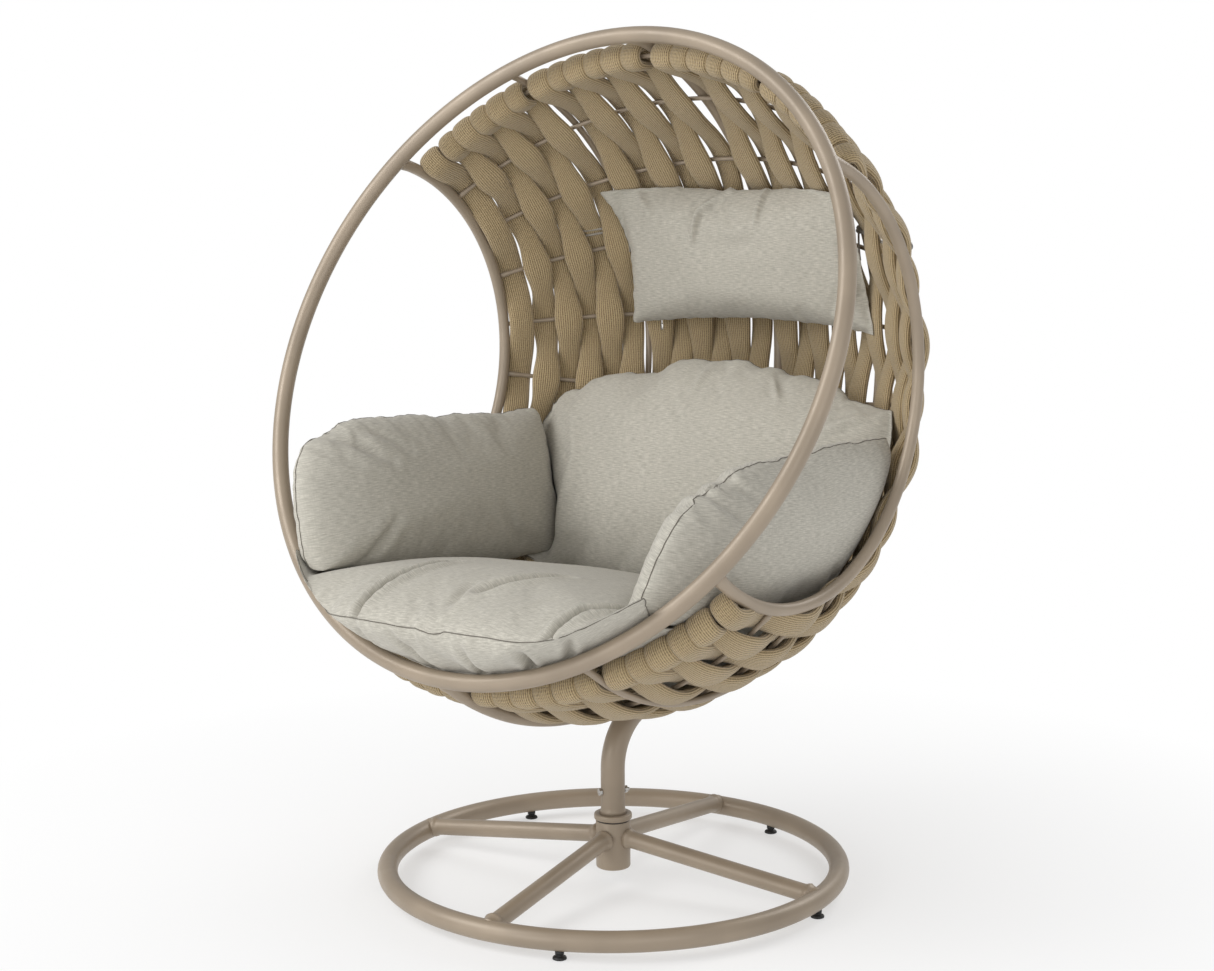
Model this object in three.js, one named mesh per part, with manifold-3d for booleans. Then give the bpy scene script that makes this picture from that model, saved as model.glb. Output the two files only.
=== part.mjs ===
// Swivel egg chair: a woven round basket on a swan-neck post that turns in a ring base.
// Millimetres, +Z up, the seat faces -Y. It is built round the swivel axis, then moved so that the
// origin is the floor point under the middle of the overall box.
import * as THREE from 'three';
import { mergeVertices } from 'three/addons/utils/BufferGeometryUtils.js';
import Module from 'manifold-3d';

const wasm = await Module();
wasm.setup();

const { PI, cos, sin, sqrt, hypot, asin, atan2 } = Math;
const rad = (degrees) => (degrees * PI) / 180;
const JOIN_GAP = 0.35; // left between pieces that are welded or rest on each other
const ROD_SEAT = 1; // between a rod and the faceted spine or rib it is welded to
const AXIS_AHEAD = 36; // the swivel axis stands this far in front of the origin

// ---------------------------------------------------------------- driving dimensions
const BASE = { ringRadius: 392, ringTube: 17.5, ringHeight: 31, yaw: rad(8) };
const SPOKE = { count: 4, tube: 15, hubHeight: 82, ringHeight: 33.5 };
const FOOT = { count: 5, pad: 12, padHeight: 8, bevel: 2, neck: 7 };
const HUB = { outer: 30, inner: 25, bottom: 24, top: 108 };
const BUSH = { inner: 17.8, outer: 24.7, length: 30, inset: 2, flange: 29.5, flangeHeight: 1.6, gap: 0.3 };
const SPINDLE = { radius: 17.5, bottom: 36, top: 188 };
const COLLAR = { radius: 33, bottom: 110.4, top: 121 };
const POST = { tube: 21, bore: 17.9, boreSpare: 4, bend: 100, endAngle: rad(-25) };
const CROSS_BOLT = { height: 160, azimuth: rad(60), shank: 3, hole: 3.4, head: 6.5, headHeight: 5, spare: 4 };
const END_BOLT = { shank: 5, hole: 5.4, head: 9, headHeight: 6, washer: 23.5, washerHeight: 2.5, length: 26 };

const FRONT_RING = { radius: 562, tube: 14, centreY: -180, centreZ: 944.5, lean: rad(26) };
const BASKET = { y: -100, z: 903, sideX: 452.5, sideRadius: 345.5, sideTube: 10 };
const SPINE = { tube: 12, setback: 127 };
const RIB = { tube: 6, column: 6 }; // it lies between this column and the next, counted from the spine
const ROD = { tube: 4, count: 13, first: rad(67), last: rad(-117.5) };
const BELT = { halfThick: 5, slack: 2, gap: 1.5, hoopGap: 6, columnsPerHalf: 12, spineSlot: 28, ribSlot: 16 };
const BASKET_BOLT = { shank: 4, hole: 4.4, head: 9, headHeight: 5, spare: 3, angles: [rad(-62), rad(-33)] };
const COLUMN_SPHERE = 573; // mean basket radius, turns arc length across the back into x
const POST_GAP = 1; // between the post and the spine it is bolted to

const CUSHION_GAP = 3;
const CUSHIONS = {
  seat: { half: [372, 291, 96], power: 0.62, centre: [0, -162.9, 492], tilt: -9 },
  back: { half: [390, 78, 210], power: 0.62, centre: [0, 270, 690], tilt: -24 },
  left: { half: [86, 320, 146], power: 0.6, centre: [-365, -72, 660], tilt: -4, turn: -1 },
  right: { half: [86, 310, 146], power: 0.6, centre: [365, -58, 660], tilt: -4, turn: 1 },
  pillow: { half: [262, 52, 122], power: 0.6, centre: [0, 372, 1073], tilt: 13 },
};
const TIE = { angle: rad(24.5), inner: RIB.tube + 0.9, outer: RIB.tube + 2, height: 4, cord: 2.5, reach: 46 };
const TOGGLE = { angle: rad(26.5), columnsOut: 10, radius: 8, length: 18, lift: 10 };

// ---------------------------------------------------------------- materials
const paint = () => new THREE.MeshStandardMaterial({ color: 0x8f8170, roughness: 0.45, metalness: 0.2 });
const plastic = () => new THREE.MeshStandardMaterial({ color: 0x141414, roughness: 0.6, metalness: 0 });
const steel = () => new THREE.MeshStandardMaterial({ color: 0xb9b9b6, roughness: 0.3, metalness: 1 });
const belting = () => new THREE.MeshStandardMaterial({ color: 0x9b8a66, roughness: 0.9, metalness: 0 });
const fabric = () => new THREE.MeshStandardMaterial({ color: 0xa8a399, roughness: 0.95, metalness: 0 });

const chair = new THREE.Group();

function add(name, geometry, material) {
  const mesh = new THREE.Mesh(geometry, material);
  mesh.name = name;
  chair.add(mesh);
  return mesh;
}

// ---------------------------------------------------------------- solids
function toSolid(geometry) {
  const bare = geometry.clone();
  bare.deleteAttribute('normal');
  bare.deleteAttribute('uv');
  const merged = mergeVertices(bare, 1e-4);
  const mesh = new wasm.Mesh({
    numProp: 3,
    vertProperties: new Float32Array(merged.attributes.position.array),
    triVerts: new Uint32Array(merged.index.array),
  });
  return new wasm.Manifold(mesh);
}

function toGeometry(solid) {
  const mesh = solid.getMesh();
  const geometry = new THREE.BufferGeometry();
  geometry.setAttribute('position', new THREE.BufferAttribute(new Float32Array(mesh.vertProperties), 3));
  geometry.setIndex(new THREE.BufferAttribute(new Uint32Array(mesh.triVerts), 1));
  geometry.computeVertexNormals();
  return geometry;
}

function largestPiece(solid) {
  const pieces = solid.decompose();
  return pieces.reduce((best, piece) => (piece.volume() > best.volume() ? piece : best));
}

// A closed skin over a list of equal rings of points, with a fan at each end.
function loft(rings) {
  const points = rings.flat();
  const size = rings[0].length;
  const triangles = [];
  for (let r = 0; r + 1 < rings.length; r += 1) {
    for (let i = 0; i < size; i += 1) {
      const a = r * size + i;
      const b = r * size + ((i + 1) % size);
      triangles.push(a, b, b + size, a, b + size, a + size);
    }
  }
  const capAt = (ring, start, flipped) => {
    const middle = ring.reduce((sum, p) => sum.add(p), new THREE.Vector3()).divideScalar(size);
    points.push(middle);
    for (let i = 0; i < size; i += 1) {
      const a = start + i;
      const b = start + ((i + 1) % size);
      triangles.push(points.length - 1, flipped ? b : a, flipped ? a : b);
    }
  };
  capAt(rings[0], 0, true);
  capAt(rings[rings.length - 1], (rings.length - 1) * size, false);
  const geometry = new THREE.BufferGeometry().setFromPoints(points);
  geometry.setIndex(triangles);
  geometry.computeVertexNormals();
  return geometry;
}

function outwards(geometry) {
  const index = geometry.index.array;
  const p = geometry.attributes.position;
  const corner = [new THREE.Vector3(), new THREE.Vector3(), new THREE.Vector3()];
  let volume = 0;
  for (let i = 0; i < index.length; i += 3) {
    corner.forEach((v, k) => v.fromBufferAttribute(p, index[i + k]));
    volume += corner[0].dot(corner[1].cross(corner[2]));
  }
  if (volume < 0) {
    for (let i = 0; i < index.length; i += 3) {
      [index[i + 1], index[i + 2]] = [index[i + 2], index[i + 1]];
    }
    geometry.computeVertexNormals();
  }
  return geometry;
}

class FormulaCurve extends THREE.Curve {
  constructor(formula) {
    super();
    this.formula = formula;
  }
  getPoint(t) {
    return this.formula(t);
  }
}

function circleShape(radius, sides) {
  const shape = new THREE.Shape();
  for (let i = 0; i < sides; i += 1) {
    const a = (2 * PI * i) / sides;
    if (i === 0) shape.moveTo(radius * cos(a), radius * sin(a));
    else shape.lineTo(radius * cos(a), radius * sin(a));
  }
  shape.closePath();
  return shape;
}

function tube(curve, radius, steps, sides) {
  return new THREE.ExtrudeGeometry(circleShape(radius, sides), {
    steps,
    extrudePath: curve,
    bevelEnabled: false,
  });
}

function cylinderBetween(from, to, radius, sides) {
  const along = to.clone().sub(from);
  const geometry = new THREE.CylinderGeometry(radius, radius, along.length(), sides);
  geometry.translate(0, along.length() / 2, 0);
  geometry.applyQuaternion(
    new THREE.Quaternion().setFromUnitVectors(new THREE.Vector3(0, 1, 0), along.normalize()),
  );
  geometry.translate(from.x, from.y, from.z);
  return geometry;
}

// A round piece on the Z axis from [radius, height] corners.
function turned(profile, sides) {
  const closed = [...profile, profile[0]].map(([r, z]) => new THREE.Vector2(r, z));
  const geometry = new THREE.LatheGeometry(closed, sides);
  geometry.rotateX(PI / 2);
  return geometry;
}

function plug(radius, bottom, top, sides) {
  return turned([[0, bottom], [radius, bottom], [radius, top], [0, top]], sides);
}

// ---------------------------------------------------------------- basket surface
const ringUp = { y: sin(FRONT_RING.lean), z: cos(FRONT_RING.lean) };
const ringBack = { y: cos(FRONT_RING.lean), z: -sin(FRONT_RING.lean) };
const spineCentre = {
  y: FRONT_RING.centreY + SPINE.setback * ringBack.y,
  z: FRONT_RING.centreZ + SPINE.setback * ringBack.z,
};
const spineRadius = hypot(FRONT_RING.radius, SPINE.setback);

// Distance from the basket centre line to the spine's centre line in the direction theta.
function spineReach(theta) {
  const dy = spineCentre.y - BASKET.y;
  const dz = spineCentre.z - BASKET.z;
  const along = dy * cos(theta) + dz * sin(theta);
  return along + sqrt(along * along - dy * dy - dz * dz + spineRadius * spineRadius);
}

// Every rod is an arc from side hoop to side hoop that just touches the spine's inside.
function rodCircle(theta) {
  const middle = spineReach(theta) - SPINE.tube - ROD.tube - ROD_SEAT;
  const { sideX, sideRadius } = BASKET;
  const centre = (middle ** 2 - sideX ** 2 - sideRadius ** 2) / (2 * (middle - sideRadius));
  return { centre, radius: middle - centre };
}

// The point at x on the rod surface, lifted outwards by offset along the surface normal.
function onBasket(x, theta, offset = 0) {
  const { centre, radius } = rodCircle(theta);
  const rise = sqrt(radius * radius - x * x);
  const reach = centre + rise + (offset * rise) / radius;
  return new THREE.Vector3(
    x + (offset * x) / radius,
    BASKET.y + reach * cos(theta),
    BASKET.z + reach * sin(theta),
  );
}

const rodAngle = (i) => ROD.first + ((ROD.last - ROD.first) * i) / (ROD.count - 1);
const acrossToX = (arc) => COLUMN_SPHERE * sin(arc / COLUMN_SPHERE);

// ---------------------------------------------------------------- base
function makeBase() {
  const ring = new THREE.TorusGeometry(BASE.ringRadius, BASE.ringTube, 10, 48);
  ring.translate(0, 0, BASE.ringHeight);
  add('base_ring', ring, paint());

  const ringRoom = toSolid(
    new THREE.TorusGeometry(BASE.ringRadius, BASE.ringTube + JOIN_GAP, 10, 48),
  ).translate([0, 0, BASE.ringHeight]);
  const { outer, inner, bottom, top } = HUB;
  const hubRoom = toSolid(plug(outer + JOIN_GAP, 0, top + SPOKE.tube, 32));
  for (let i = 0; i < SPOKE.count; i += 1) {
    const azimuth = BASE.yaw + (i * 2 * PI) / SPOKE.count;
    const at = (r, z) => new THREE.Vector3(r * cos(azimuth), r * sin(azimuth), z);
    const bar = cylinderBetween(
      at(HUB.inner - 10, SPOKE.hubHeight),
      at(BASE.ringRadius, SPOKE.ringHeight),
      SPOKE.tube,
      12,
    );
    const fitted = largestPiece(toSolid(bar).subtract(hubRoom).subtract(ringRoom));
    add(`spoke_${i + 1}`, toGeometry(fitted), paint());
  }
  add('hub', turned([[inner, bottom], [outer, bottom], [outer, top], [inner, top]], 24), paint());
}

function makeFeet() {
  const stemTop = BASE.ringHeight - BASE.ringTube - JOIN_GAP;
  const { pad, padHeight, bevel, neck } = FOOT;
  const profile = [
    [0, 0], [pad, 0], [pad, padHeight - bevel], [neck, padHeight], [neck, stemTop], [0, stemTop],
  ];
  for (let i = 0; i < FOOT.count; i += 1) {
    const azimuth = BASE.yaw + (i * 2 * PI) / FOOT.count;
    const foot = add(`foot_${i + 1}`, turned(profile, 10), plastic());
    foot.position.set(BASE.ringRadius * cos(azimuth), BASE.ringRadius * sin(azimuth), 0);
  }
}

function makeBushes() {
  const { inner, outer, length, flange, flangeHeight, gap, inset } = BUSH;
  const seat = HUB.top + gap;
  const rim = HUB.top + flangeHeight;
  const upper = [
    [inner, HUB.top - length], [outer, HUB.top - length], [outer, seat],
    [flange, seat], [flange, rim], [inner, rim],
  ];
  add('upper_bush', turned(upper, 20), plastic());
  const start = SPINDLE.bottom + inset;
  const lower = [[inner, start], [outer, start], [outer, start + length], [inner, start + length]];
  add('lower_bush', turned(lower, 20), plastic());
}

// ---------------------------------------------------------------- post
const postArcRadius = spineRadius + SPINE.tube + POST.tube + POST_GAP;
const bendCentre = {
  y: POST.bend,
  z: spineCentre.z - sqrt((postArcRadius + POST.bend) ** 2 - (POST.bend - spineCentre.y) ** 2),
};
const bendTurn = atan2(spineCentre.z - bendCentre.z, bendCentre.y - spineCentre.y);

// Straight up from the collar, back under the basket, then up along its spine.
function postPath() {
  const straight = bendCentre.z - COLLAR.top - JOIN_GAP;
  const bent = POST.bend * bendTurn;
  const swept = postArcRadius * (POST.endAngle + bendTurn);
  const total = straight + bent + swept;
  return new FormulaCurve((t) => {
    const s = t * total;
    if (s < straight) return new THREE.Vector3(0, 0, COLLAR.top + JOIN_GAP + s);
    if (s < straight + bent) {
      const a = (s - straight) / POST.bend;
      return new THREE.Vector3(0, bendCentre.y - POST.bend * cos(a), bendCentre.z + POST.bend * sin(a));
    }
    const a = (s - straight - bent) / postArcRadius - bendTurn;
    return new THREE.Vector3(
      0,
      spineCentre.y + postArcRadius * cos(a),
      spineCentre.z + postArcRadius * sin(a),
    );
  });
}

function basketBolt(angle) {
  const at = (r) => new THREE.Vector3(0, spineCentre.y + r * cos(angle), spineCentre.z + r * sin(angle));
  const inside = spineRadius - SPINE.tube - BELT.gap;
  const outside = postArcRadius + POST.tube + JOIN_GAP;
  const { shank, hole, head, headHeight, spare } = BASKET_BOLT;
  const pieces = [
    cylinderBetween(at(inside - spare), at(outside + spare), shank, 8),
    cylinderBetween(at(inside - headHeight), at(inside), head, 8),
    cylinderBetween(at(outside), at(outside + headHeight), head, 8),
  ].map(toSolid);
  return {
    solid: pieces[0].add(pieces[1]).add(pieces[2]),
    hole: toSolid(cylinderBetween(at(inside - POST.tube), at(outside + POST.tube), hole, 12)),
  };
}

function crossBolt() {
  const at = (r) =>
    new THREE.Vector3(r * cos(CROSS_BOLT.azimuth), r * sin(CROSS_BOLT.azimuth), CROSS_BOLT.height);
  const face = POST.tube + JOIN_GAP;
  const { shank, hole, head, headHeight, spare } = CROSS_BOLT;
  const pieces = [
    cylinderBetween(at(-face), at(face + headHeight + spare), shank, 12),
    cylinderBetween(at(face), at(face + headHeight), head, 6),
    cylinderBetween(at(-face - headHeight), at(-face), head, 6),
  ].map(toSolid);
  return {
    solid: pieces[0].add(pieces[1]).add(pieces[2]),
    hole: toSolid(cylinderBetween(at(-2 * POST.tube), at(2 * POST.tube), hole, 12)),
  };
}

const basketBolts = BASKET_BOLT.angles.map(basketBolt);

function makePost() {
  const cross = crossBolt();
  const bore = toSolid(plug(POST.bore, 0, SPINDLE.top + POST.boreSpare, 24));
  let post = toSolid(tube(postPath(), POST.tube, 28, 12)).subtract(bore).subtract(cross.hole);
  basketBolts.forEach((bolt) => {
    post = post.subtract(bolt.hole);
  });
  add('post', toGeometry(largestPiece(post)), paint());
  add('post_bolt', toGeometry(cross.solid), steel());
  basketBolts.forEach((bolt, i) => {
    add(`basket_bolt_${i + 1}`, toGeometry(bolt.solid), steel());
  });

  const { radius, bottom, top } = COLLAR;
  const hollow = SPINDLE.radius + JOIN_GAP;
  add('collar', turned([[hollow, bottom], [radius, bottom], [radius, top], [hollow, top]], 24), paint());

  const { shank, hole, head, headHeight, washer, washerHeight, length } = END_BOLT;
  const thread = toSolid(plug(hole, 0, SPINDLE.bottom + length, 12));
  const spindle = toSolid(plug(SPINDLE.radius, SPINDLE.bottom, SPINDLE.top, 24));
  add('spindle', toGeometry(spindle.subtract(thread).subtract(cross.hole)), steel());

  const under = SPINDLE.bottom - JOIN_GAP;
  const tip = under + length - shank;
  const endBolt = [
    [0, under - headHeight], [head, under - headHeight], [head, under - washerHeight],
    [washer, under - washerHeight], [washer, under], [shank, under], [shank, tip], [0, tip],
  ];
  add('end_bolt', turned(endBolt, 14), steel());
}

// ---------------------------------------------------------------- basket frame
const ringTilt = PI / 2 - FRONT_RING.lean;

function frontRing(tubeRadius) {
  const ring = new THREE.TorusGeometry(FRONT_RING.radius, tubeRadius, 10, 60);
  ring.rotateX(ringTilt);
  ring.translate(0, FRONT_RING.centreY, FRONT_RING.centreZ);
  return ring;
}

// The front ring's centre line at x, on its upper (+1) or lower (-1) half.
function ringPoint(x, half) {
  const reach = half * sqrt(FRONT_RING.radius ** 2 - x * x);
  return new THREE.Vector3(
    x,
    FRONT_RING.centreY + reach * ringUp.y,
    FRONT_RING.centreZ + reach * ringUp.z,
  );
}

function basketAngle(point) {
  return atan2(point.z - BASKET.z, point.y - BASKET.y);
}

function ribX() {
  return acrossToX((BELT.spineSlot + BELT.ribSlot) / 2 + RIB.column * columnPitch());
}

function ribCurve(side) {
  const x = side * ribX();
  const lift = ROD.tube + RIB.tube + ROD_SEAT;
  const outerX = onBasket(x, 0, lift).x;
  const points = [ringPoint(outerX, 1)];
  for (let i = 0; i < ROD.count; i += 1) points.push(onBasket(x, rodAngle(i), lift));
  points.push(ringPoint(outerX, -1));
  return new THREE.CatmullRomCurve3(points, false, 'centripetal');
}

function makeBasketFrame() {
  add('front_ring', frontRing(FRONT_RING.tube), paint());
  const ringRoom = toSolid(frontRing(FRONT_RING.tube + JOIN_GAP));
  const addFitted = (name, geometry, cuts = []) => {
    const solid = cuts.reduce((left, cut) => left.subtract(cut), toSolid(geometry).subtract(ringRoom));
    add(name, toGeometry(largestPiece(solid)), paint());
  };

  const top = basketAngle(ringPoint(BASKET.sideX, 1));
  const bottom = basketAngle(ringPoint(BASKET.sideX, -1));
  for (const [name, side] of [['side_hoop_left', -1], ['side_hoop_right', 1]]) {
    const curve = new FormulaCurve((t) => {
      const a = top + (bottom - top) * t;
      return new THREE.Vector3(
        side * BASKET.sideX,
        BASKET.y + BASKET.sideRadius * cos(a),
        BASKET.z + BASKET.sideRadius * sin(a),
      );
    });
    addFitted(name, tube(curve, BASKET.sideTube, 26, 8));
  }

  const spineSpan = asin(FRONT_RING.radius / spineRadius);
  const spineMiddle = atan2(ringBack.z, ringBack.y);
  const spine = new FormulaCurve((t) => {
    const a = spineMiddle + (PI - spineSpan) * (1 - 2 * t);
    return new THREE.Vector3(
      0,
      spineCentre.y + spineRadius * cos(a),
      spineCentre.z + spineRadius * sin(a),
    );
  });
  addFitted('spine', tube(spine, SPINE.tube, 32, 8), basketBolts.map((bolt) => bolt.hole));
  addFitted('rib_left', tube(ribCurve(-1), RIB.tube, 28, 6));
  addFitted('rib_right', tube(ribCurve(1), RIB.tube, 28, 6));
}

function makeRods() {
  for (let i = 0; i < ROD.count; i += 1) {
    const theta = rodAngle(i);
    const { radius } = rodCircle(theta);
    const reach = asin(BASKET.sideX / radius) - (BASKET.sideTube + JOIN_GAP + 0.1) / radius;
    const curve = new FormulaCurve((t) => onBasket(radius * sin(reach * (2 * t - 1)), theta));
    let name = `rod_${i}`;
    if (i === 0) name = 'top_edge_rod';
    if (i === ROD.count - 1) name = 'bottom_edge_rod';
    add(name, tube(curve, ROD.tube, 12, 5), paint());
  }
}

// ---------------------------------------------------------------- woven belts
function columnPitch() {
  const arcEnd = COLUMN_SPHERE * asin(BASKET.sideX / COLUMN_SPHERE) - BASKET.sideTube - BELT.hoopGap;
  return (arcEnd - BELT.spineSlot / 2 - BELT.ribSlot) / BELT.columnsPerHalf;
}

// Left and right edge of a column, as arc lengths from the spine; columns run from -X to +X.
function columnEdges(column) {
  const half = BELT.columnsPerHalf;
  const side = column < half ? -1 : 1;
  const place = column < half ? half - 1 - column : column - half;
  const slots = BELT.spineSlot / 2 + (place >= RIB.column ? BELT.ribSlot : 0);
  const near = slots + columnPitch() * place + BELT.gap / 2;
  const far = slots + columnPitch() * (place + 1) - BELT.gap / 2;
  return side > 0 ? [near, far] : [-far, -near];
}

function beltRing([from, to], theta, inner, outer) {
  return [
    onBasket(acrossToX(from), theta, inner),
    onBasket(acrossToX(to), theta, inner),
    onBasket(acrossToX(to), theta, outer),
    onBasket(acrossToX(from), theta, outer),
  ];
}

// One column: inside every other rod and outside the rest.
function beltStrip(column, insideEven, overrun) {
  const edges = columnEdges(column);
  const swing = ROD.tube + BELT.halfThick + BELT.slack;
  const rings = [];
  const addRing = (theta, inside) => {
    const offset = inside ? -swing : swing;
    rings.push(beltRing(edges, theta, offset - BELT.halfThick, offset + BELT.halfThick));
  };
  addRing(ROD.first + overrun, insideEven);
  for (let i = 0; i < ROD.count; i += 1) addRing(rodAngle(i), (i % 2 === 0) === insideEven);
  addRing(ROD.last - overrun, insideEven);
  return toSolid(outwards(loft(rings)));
}

// Each belt is one loop: up one column inside the edge rod, round it and down the next column.
function makeBelts() {
  const swing = ROD.tube + BELT.halfThick + BELT.slack;
  const capStart = (ROD.tube + 1) / BASKET.sideRadius;
  const capEnd = capStart + (1.6 * BELT.halfThick) / COLUMN_SPHERE;
  for (let pair = 0; pair < BELT.columnsPerHalf; pair += 1) {
    const first = 2 * pair;
    let belt = beltStrip(first, true, capEnd).add(beltStrip(first + 1, false, capEnd));
    const span = [columnEdges(first)[0], columnEdges(first + 1)[1]];
    for (const [edge, sign] of [[ROD.first, 1], [ROD.last, -1]]) {
      const depth = swing + BELT.halfThick;
      const cap = [capStart, capEnd].map((a) => beltRing(span, edge + sign * a, -depth, depth));
      belt = belt.add(toSolid(outwards(loft(cap))));
    }
    add(`belt_${pair + 1}`, toGeometry(belt), belting());
  }
}

// ---------------------------------------------------------------- cushions
// The space inside the weave, which every cushion keeps to.
function basketRoom() {
  const rings = [];
  const steps = 12;
  const sides = 28;
  const margin = ROD.tube + 2 * BELT.halfThick + BELT.slack + CUSHION_GAP;
  for (let i = 0; i <= steps; i += 1) {
    const x = BASKET.sideX * sin((PI / 2) * ((2 * i) / steps - 1));
    const ring = [];
    for (let k = 0; k < sides; k += 1) ring.push(onBasket(x, (2 * PI * k) / sides, -margin));
    rings.push(ring);
  }
  return toSolid(outwards(loft(rings)));
}

// A rounded block: half sizes, corner power (1 = ellipsoid, towards 0 = box), place, tilt and turn.
function paddedBlock({ half, power, centre, tilt, turn = 0 }, grow = 0) {
  const geometry = new THREE.SphereGeometry(1, 16, 10);
  const p = geometry.attributes.position;
  const flat = (v) => (Math.abs(v) < 1e-9 ? 0 : v);
  const soft = (v) => Math.sign(flat(v)) * Math.abs(flat(v)) ** power;
  for (let i = 0; i < p.count; i += 1) {
    const v = new THREE.Vector3().fromBufferAttribute(p, i).toArray();
    p.setXYZ(i, ...v.map((c, axis) => soft(c) * (half[axis] + grow)));
  }
  geometry.rotateX(rad(tilt));
  geometry.rotateZ(rad(turn));
  geometry.translate(...centre);
  return toSolid(geometry);
}

function makeCushions() {
  const room = basketRoom();
  const seatRoom = paddedBlock(CUSHIONS.seat, CUSHION_GAP);
  const backRoom = paddedBlock(CUSHIONS.back, CUSHION_GAP);
  const ringRoom = toSolid(frontRing(FRONT_RING.tube + CUSHION_GAP));
  const fit = (spec, cuts) => {
    const solid = cuts.reduce((left, cut) => left.subtract(cut), paddedBlock(spec).intersect(room));
    return largestPiece(solid);
  };
  const pillow = fit(CUSHIONS.pillow, []);
  add('seat_cushion', toGeometry(fit(CUSHIONS.seat, [ringRoom])), fabric());
  add('back_cushion', toGeometry(fit(CUSHIONS.back, [seatRoom])), fabric());
  add('arm_cushion_left', toGeometry(fit(CUSHIONS.left, [seatRoom, backRoom, ringRoom])), fabric());
  add('arm_cushion_right', toGeometry(fit(CUSHIONS.right, [seatRoom, backRoom, ringRoom])), fabric());
  add('head_pillow', toGeometry(pillow), fabric());
}

// A cord loop round each rib holds the pillow; its free ends pass out between two belts to a toggle.
function makeTies() {
  const pillowRoom = paddedBlock(CUSHIONS.pillow, 1);
  for (const [name, side] of [['left', -1], ['right', 1]]) {
    const x = side * ribX();
    const lift = ROD.tube + RIB.tube + ROD_SEAT;
    const centre = onBasket(x, TIE.angle, lift);
    const inward = onBasket(x, TIE.angle, -TIE.reach).sub(centre).normalize();
    const along = onBasket(x, TIE.angle + 0.01, lift).sub(centre).normalize();
    const halfHeight = TIE.height / 2;
    const loop = turned([
      [TIE.inner, -halfHeight], [TIE.outer, -halfHeight], [TIE.outer, halfHeight], [TIE.inner, halfHeight],
    ], 16);
    loop.applyQuaternion(new THREE.Quaternion().setFromUnitVectors(new THREE.Vector3(0, 0, 1), along));
    loop.translate(centre.x, centre.y, centre.z);
    const cordStart = centre.clone().addScaledVector(inward, (TIE.inner + TIE.outer) / 2);
    const cordEnd = centre.clone().addScaledVector(inward, TIE.reach);
    const cord = toSolid(cylinderBetween(cordStart, cordEnd, TIE.cord, 8)).subtract(pillowRoom);
    add(`pillow_tie_${name}`, toGeometry(largestPiece(toSolid(loop).add(cord))), fabric());

    const gapX = side * acrossToX(BELT.spineSlot / 2 + BELT.ribSlot + TOGGLE.columnsOut * columnPitch());
    const base = onBasket(gapX, TOGGLE.angle, TOGGLE.lift);
    const tip = onBasket(gapX, TOGGLE.angle, TOGGLE.lift + TOGGLE.length);
    add(`tie_toggle_${name}`, cylinderBetween(base, tip, TOGGLE.radius, 12), steel());
  }
}

makeBase();
makeFeet();
makeBushes();
makePost();
makeBasketFrame();
makeRods();
makeBelts();
makeCushions();
makeTies();
chair.children.forEach((mesh) => mesh.geometry.translate(0, -AXIS_AHEAD, 0));

export default chair;
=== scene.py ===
"""Looks for the swivel egg chair: a woven basket with cushions on a swan-neck post and a ring base.

Metres, +Z up, the seat faces -Y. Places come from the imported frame; only looks are decided here."""

import math

import bmesh
import bpy
import numpy as np
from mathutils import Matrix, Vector
from mathutils.bvhtree import BVHTree


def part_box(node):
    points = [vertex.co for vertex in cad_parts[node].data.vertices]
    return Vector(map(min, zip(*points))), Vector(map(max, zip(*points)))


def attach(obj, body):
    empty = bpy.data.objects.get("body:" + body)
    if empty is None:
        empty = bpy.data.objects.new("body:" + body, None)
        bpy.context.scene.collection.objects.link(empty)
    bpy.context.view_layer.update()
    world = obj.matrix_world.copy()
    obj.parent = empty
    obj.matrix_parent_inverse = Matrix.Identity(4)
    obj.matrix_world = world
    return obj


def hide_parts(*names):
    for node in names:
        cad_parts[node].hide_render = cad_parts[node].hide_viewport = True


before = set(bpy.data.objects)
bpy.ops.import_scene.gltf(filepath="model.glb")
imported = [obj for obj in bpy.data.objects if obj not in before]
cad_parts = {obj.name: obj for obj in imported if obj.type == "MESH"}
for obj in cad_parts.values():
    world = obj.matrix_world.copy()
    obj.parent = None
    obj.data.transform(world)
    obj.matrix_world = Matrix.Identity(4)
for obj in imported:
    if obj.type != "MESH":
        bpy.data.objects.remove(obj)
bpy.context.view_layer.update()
random = np.random.default_rng(7)
MM = 0.001


# ---------------------------------------------------------------- reading the frame
def mesh_points(mesh):
    return np.array([v.co for v in mesh.vertices], float)


def node_points(node):
    return mesh_points(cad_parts[node].data)


def added(name, data):
    """A new object in the scene."""
    made = bpy.data.objects.new(name, data)
    bpy.context.scene.collection.objects.link(made)
    return made


def round_angles(count):
    return np.arange(count) * 2 * math.pi / count


def fit_circle(flat):
    """Centre and radius of the circle through the middle of a tube's points, given in its plane."""
    matrix = np.c_[2 * flat, np.ones(len(flat))]
    a, b, c = np.linalg.lstsq(matrix, (flat**2).sum(1), rcond=None)[0]
    return np.array([a, b]), math.sqrt(c + a * a + b * b)


def ring_of(node):
    """Centre, radius, tube radius and the two in-plane directions of a full ring."""
    points = node_points(node)
    centre = (points.min(0) + points.max(0)) / 2
    normal = np.linalg.svd(points - points.mean(0), full_matrices=False)[2][2]
    right = np.array([1.0, 0.0, 0.0])
    up = np.cross(normal, right)
    up *= np.sign(up[2] if abs(up[2]) > abs(up[1]) else up[1])
    out = np.hypot((points - centre) @ right, (points - centre) @ up)
    return {
        "centre": centre,
        "radius": (out.max() + out.min()) / 2,
        "tube": (out.max() - out.min()) / 2,
        "right": right,
        "up": up / np.linalg.norm(up),
    }


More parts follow.
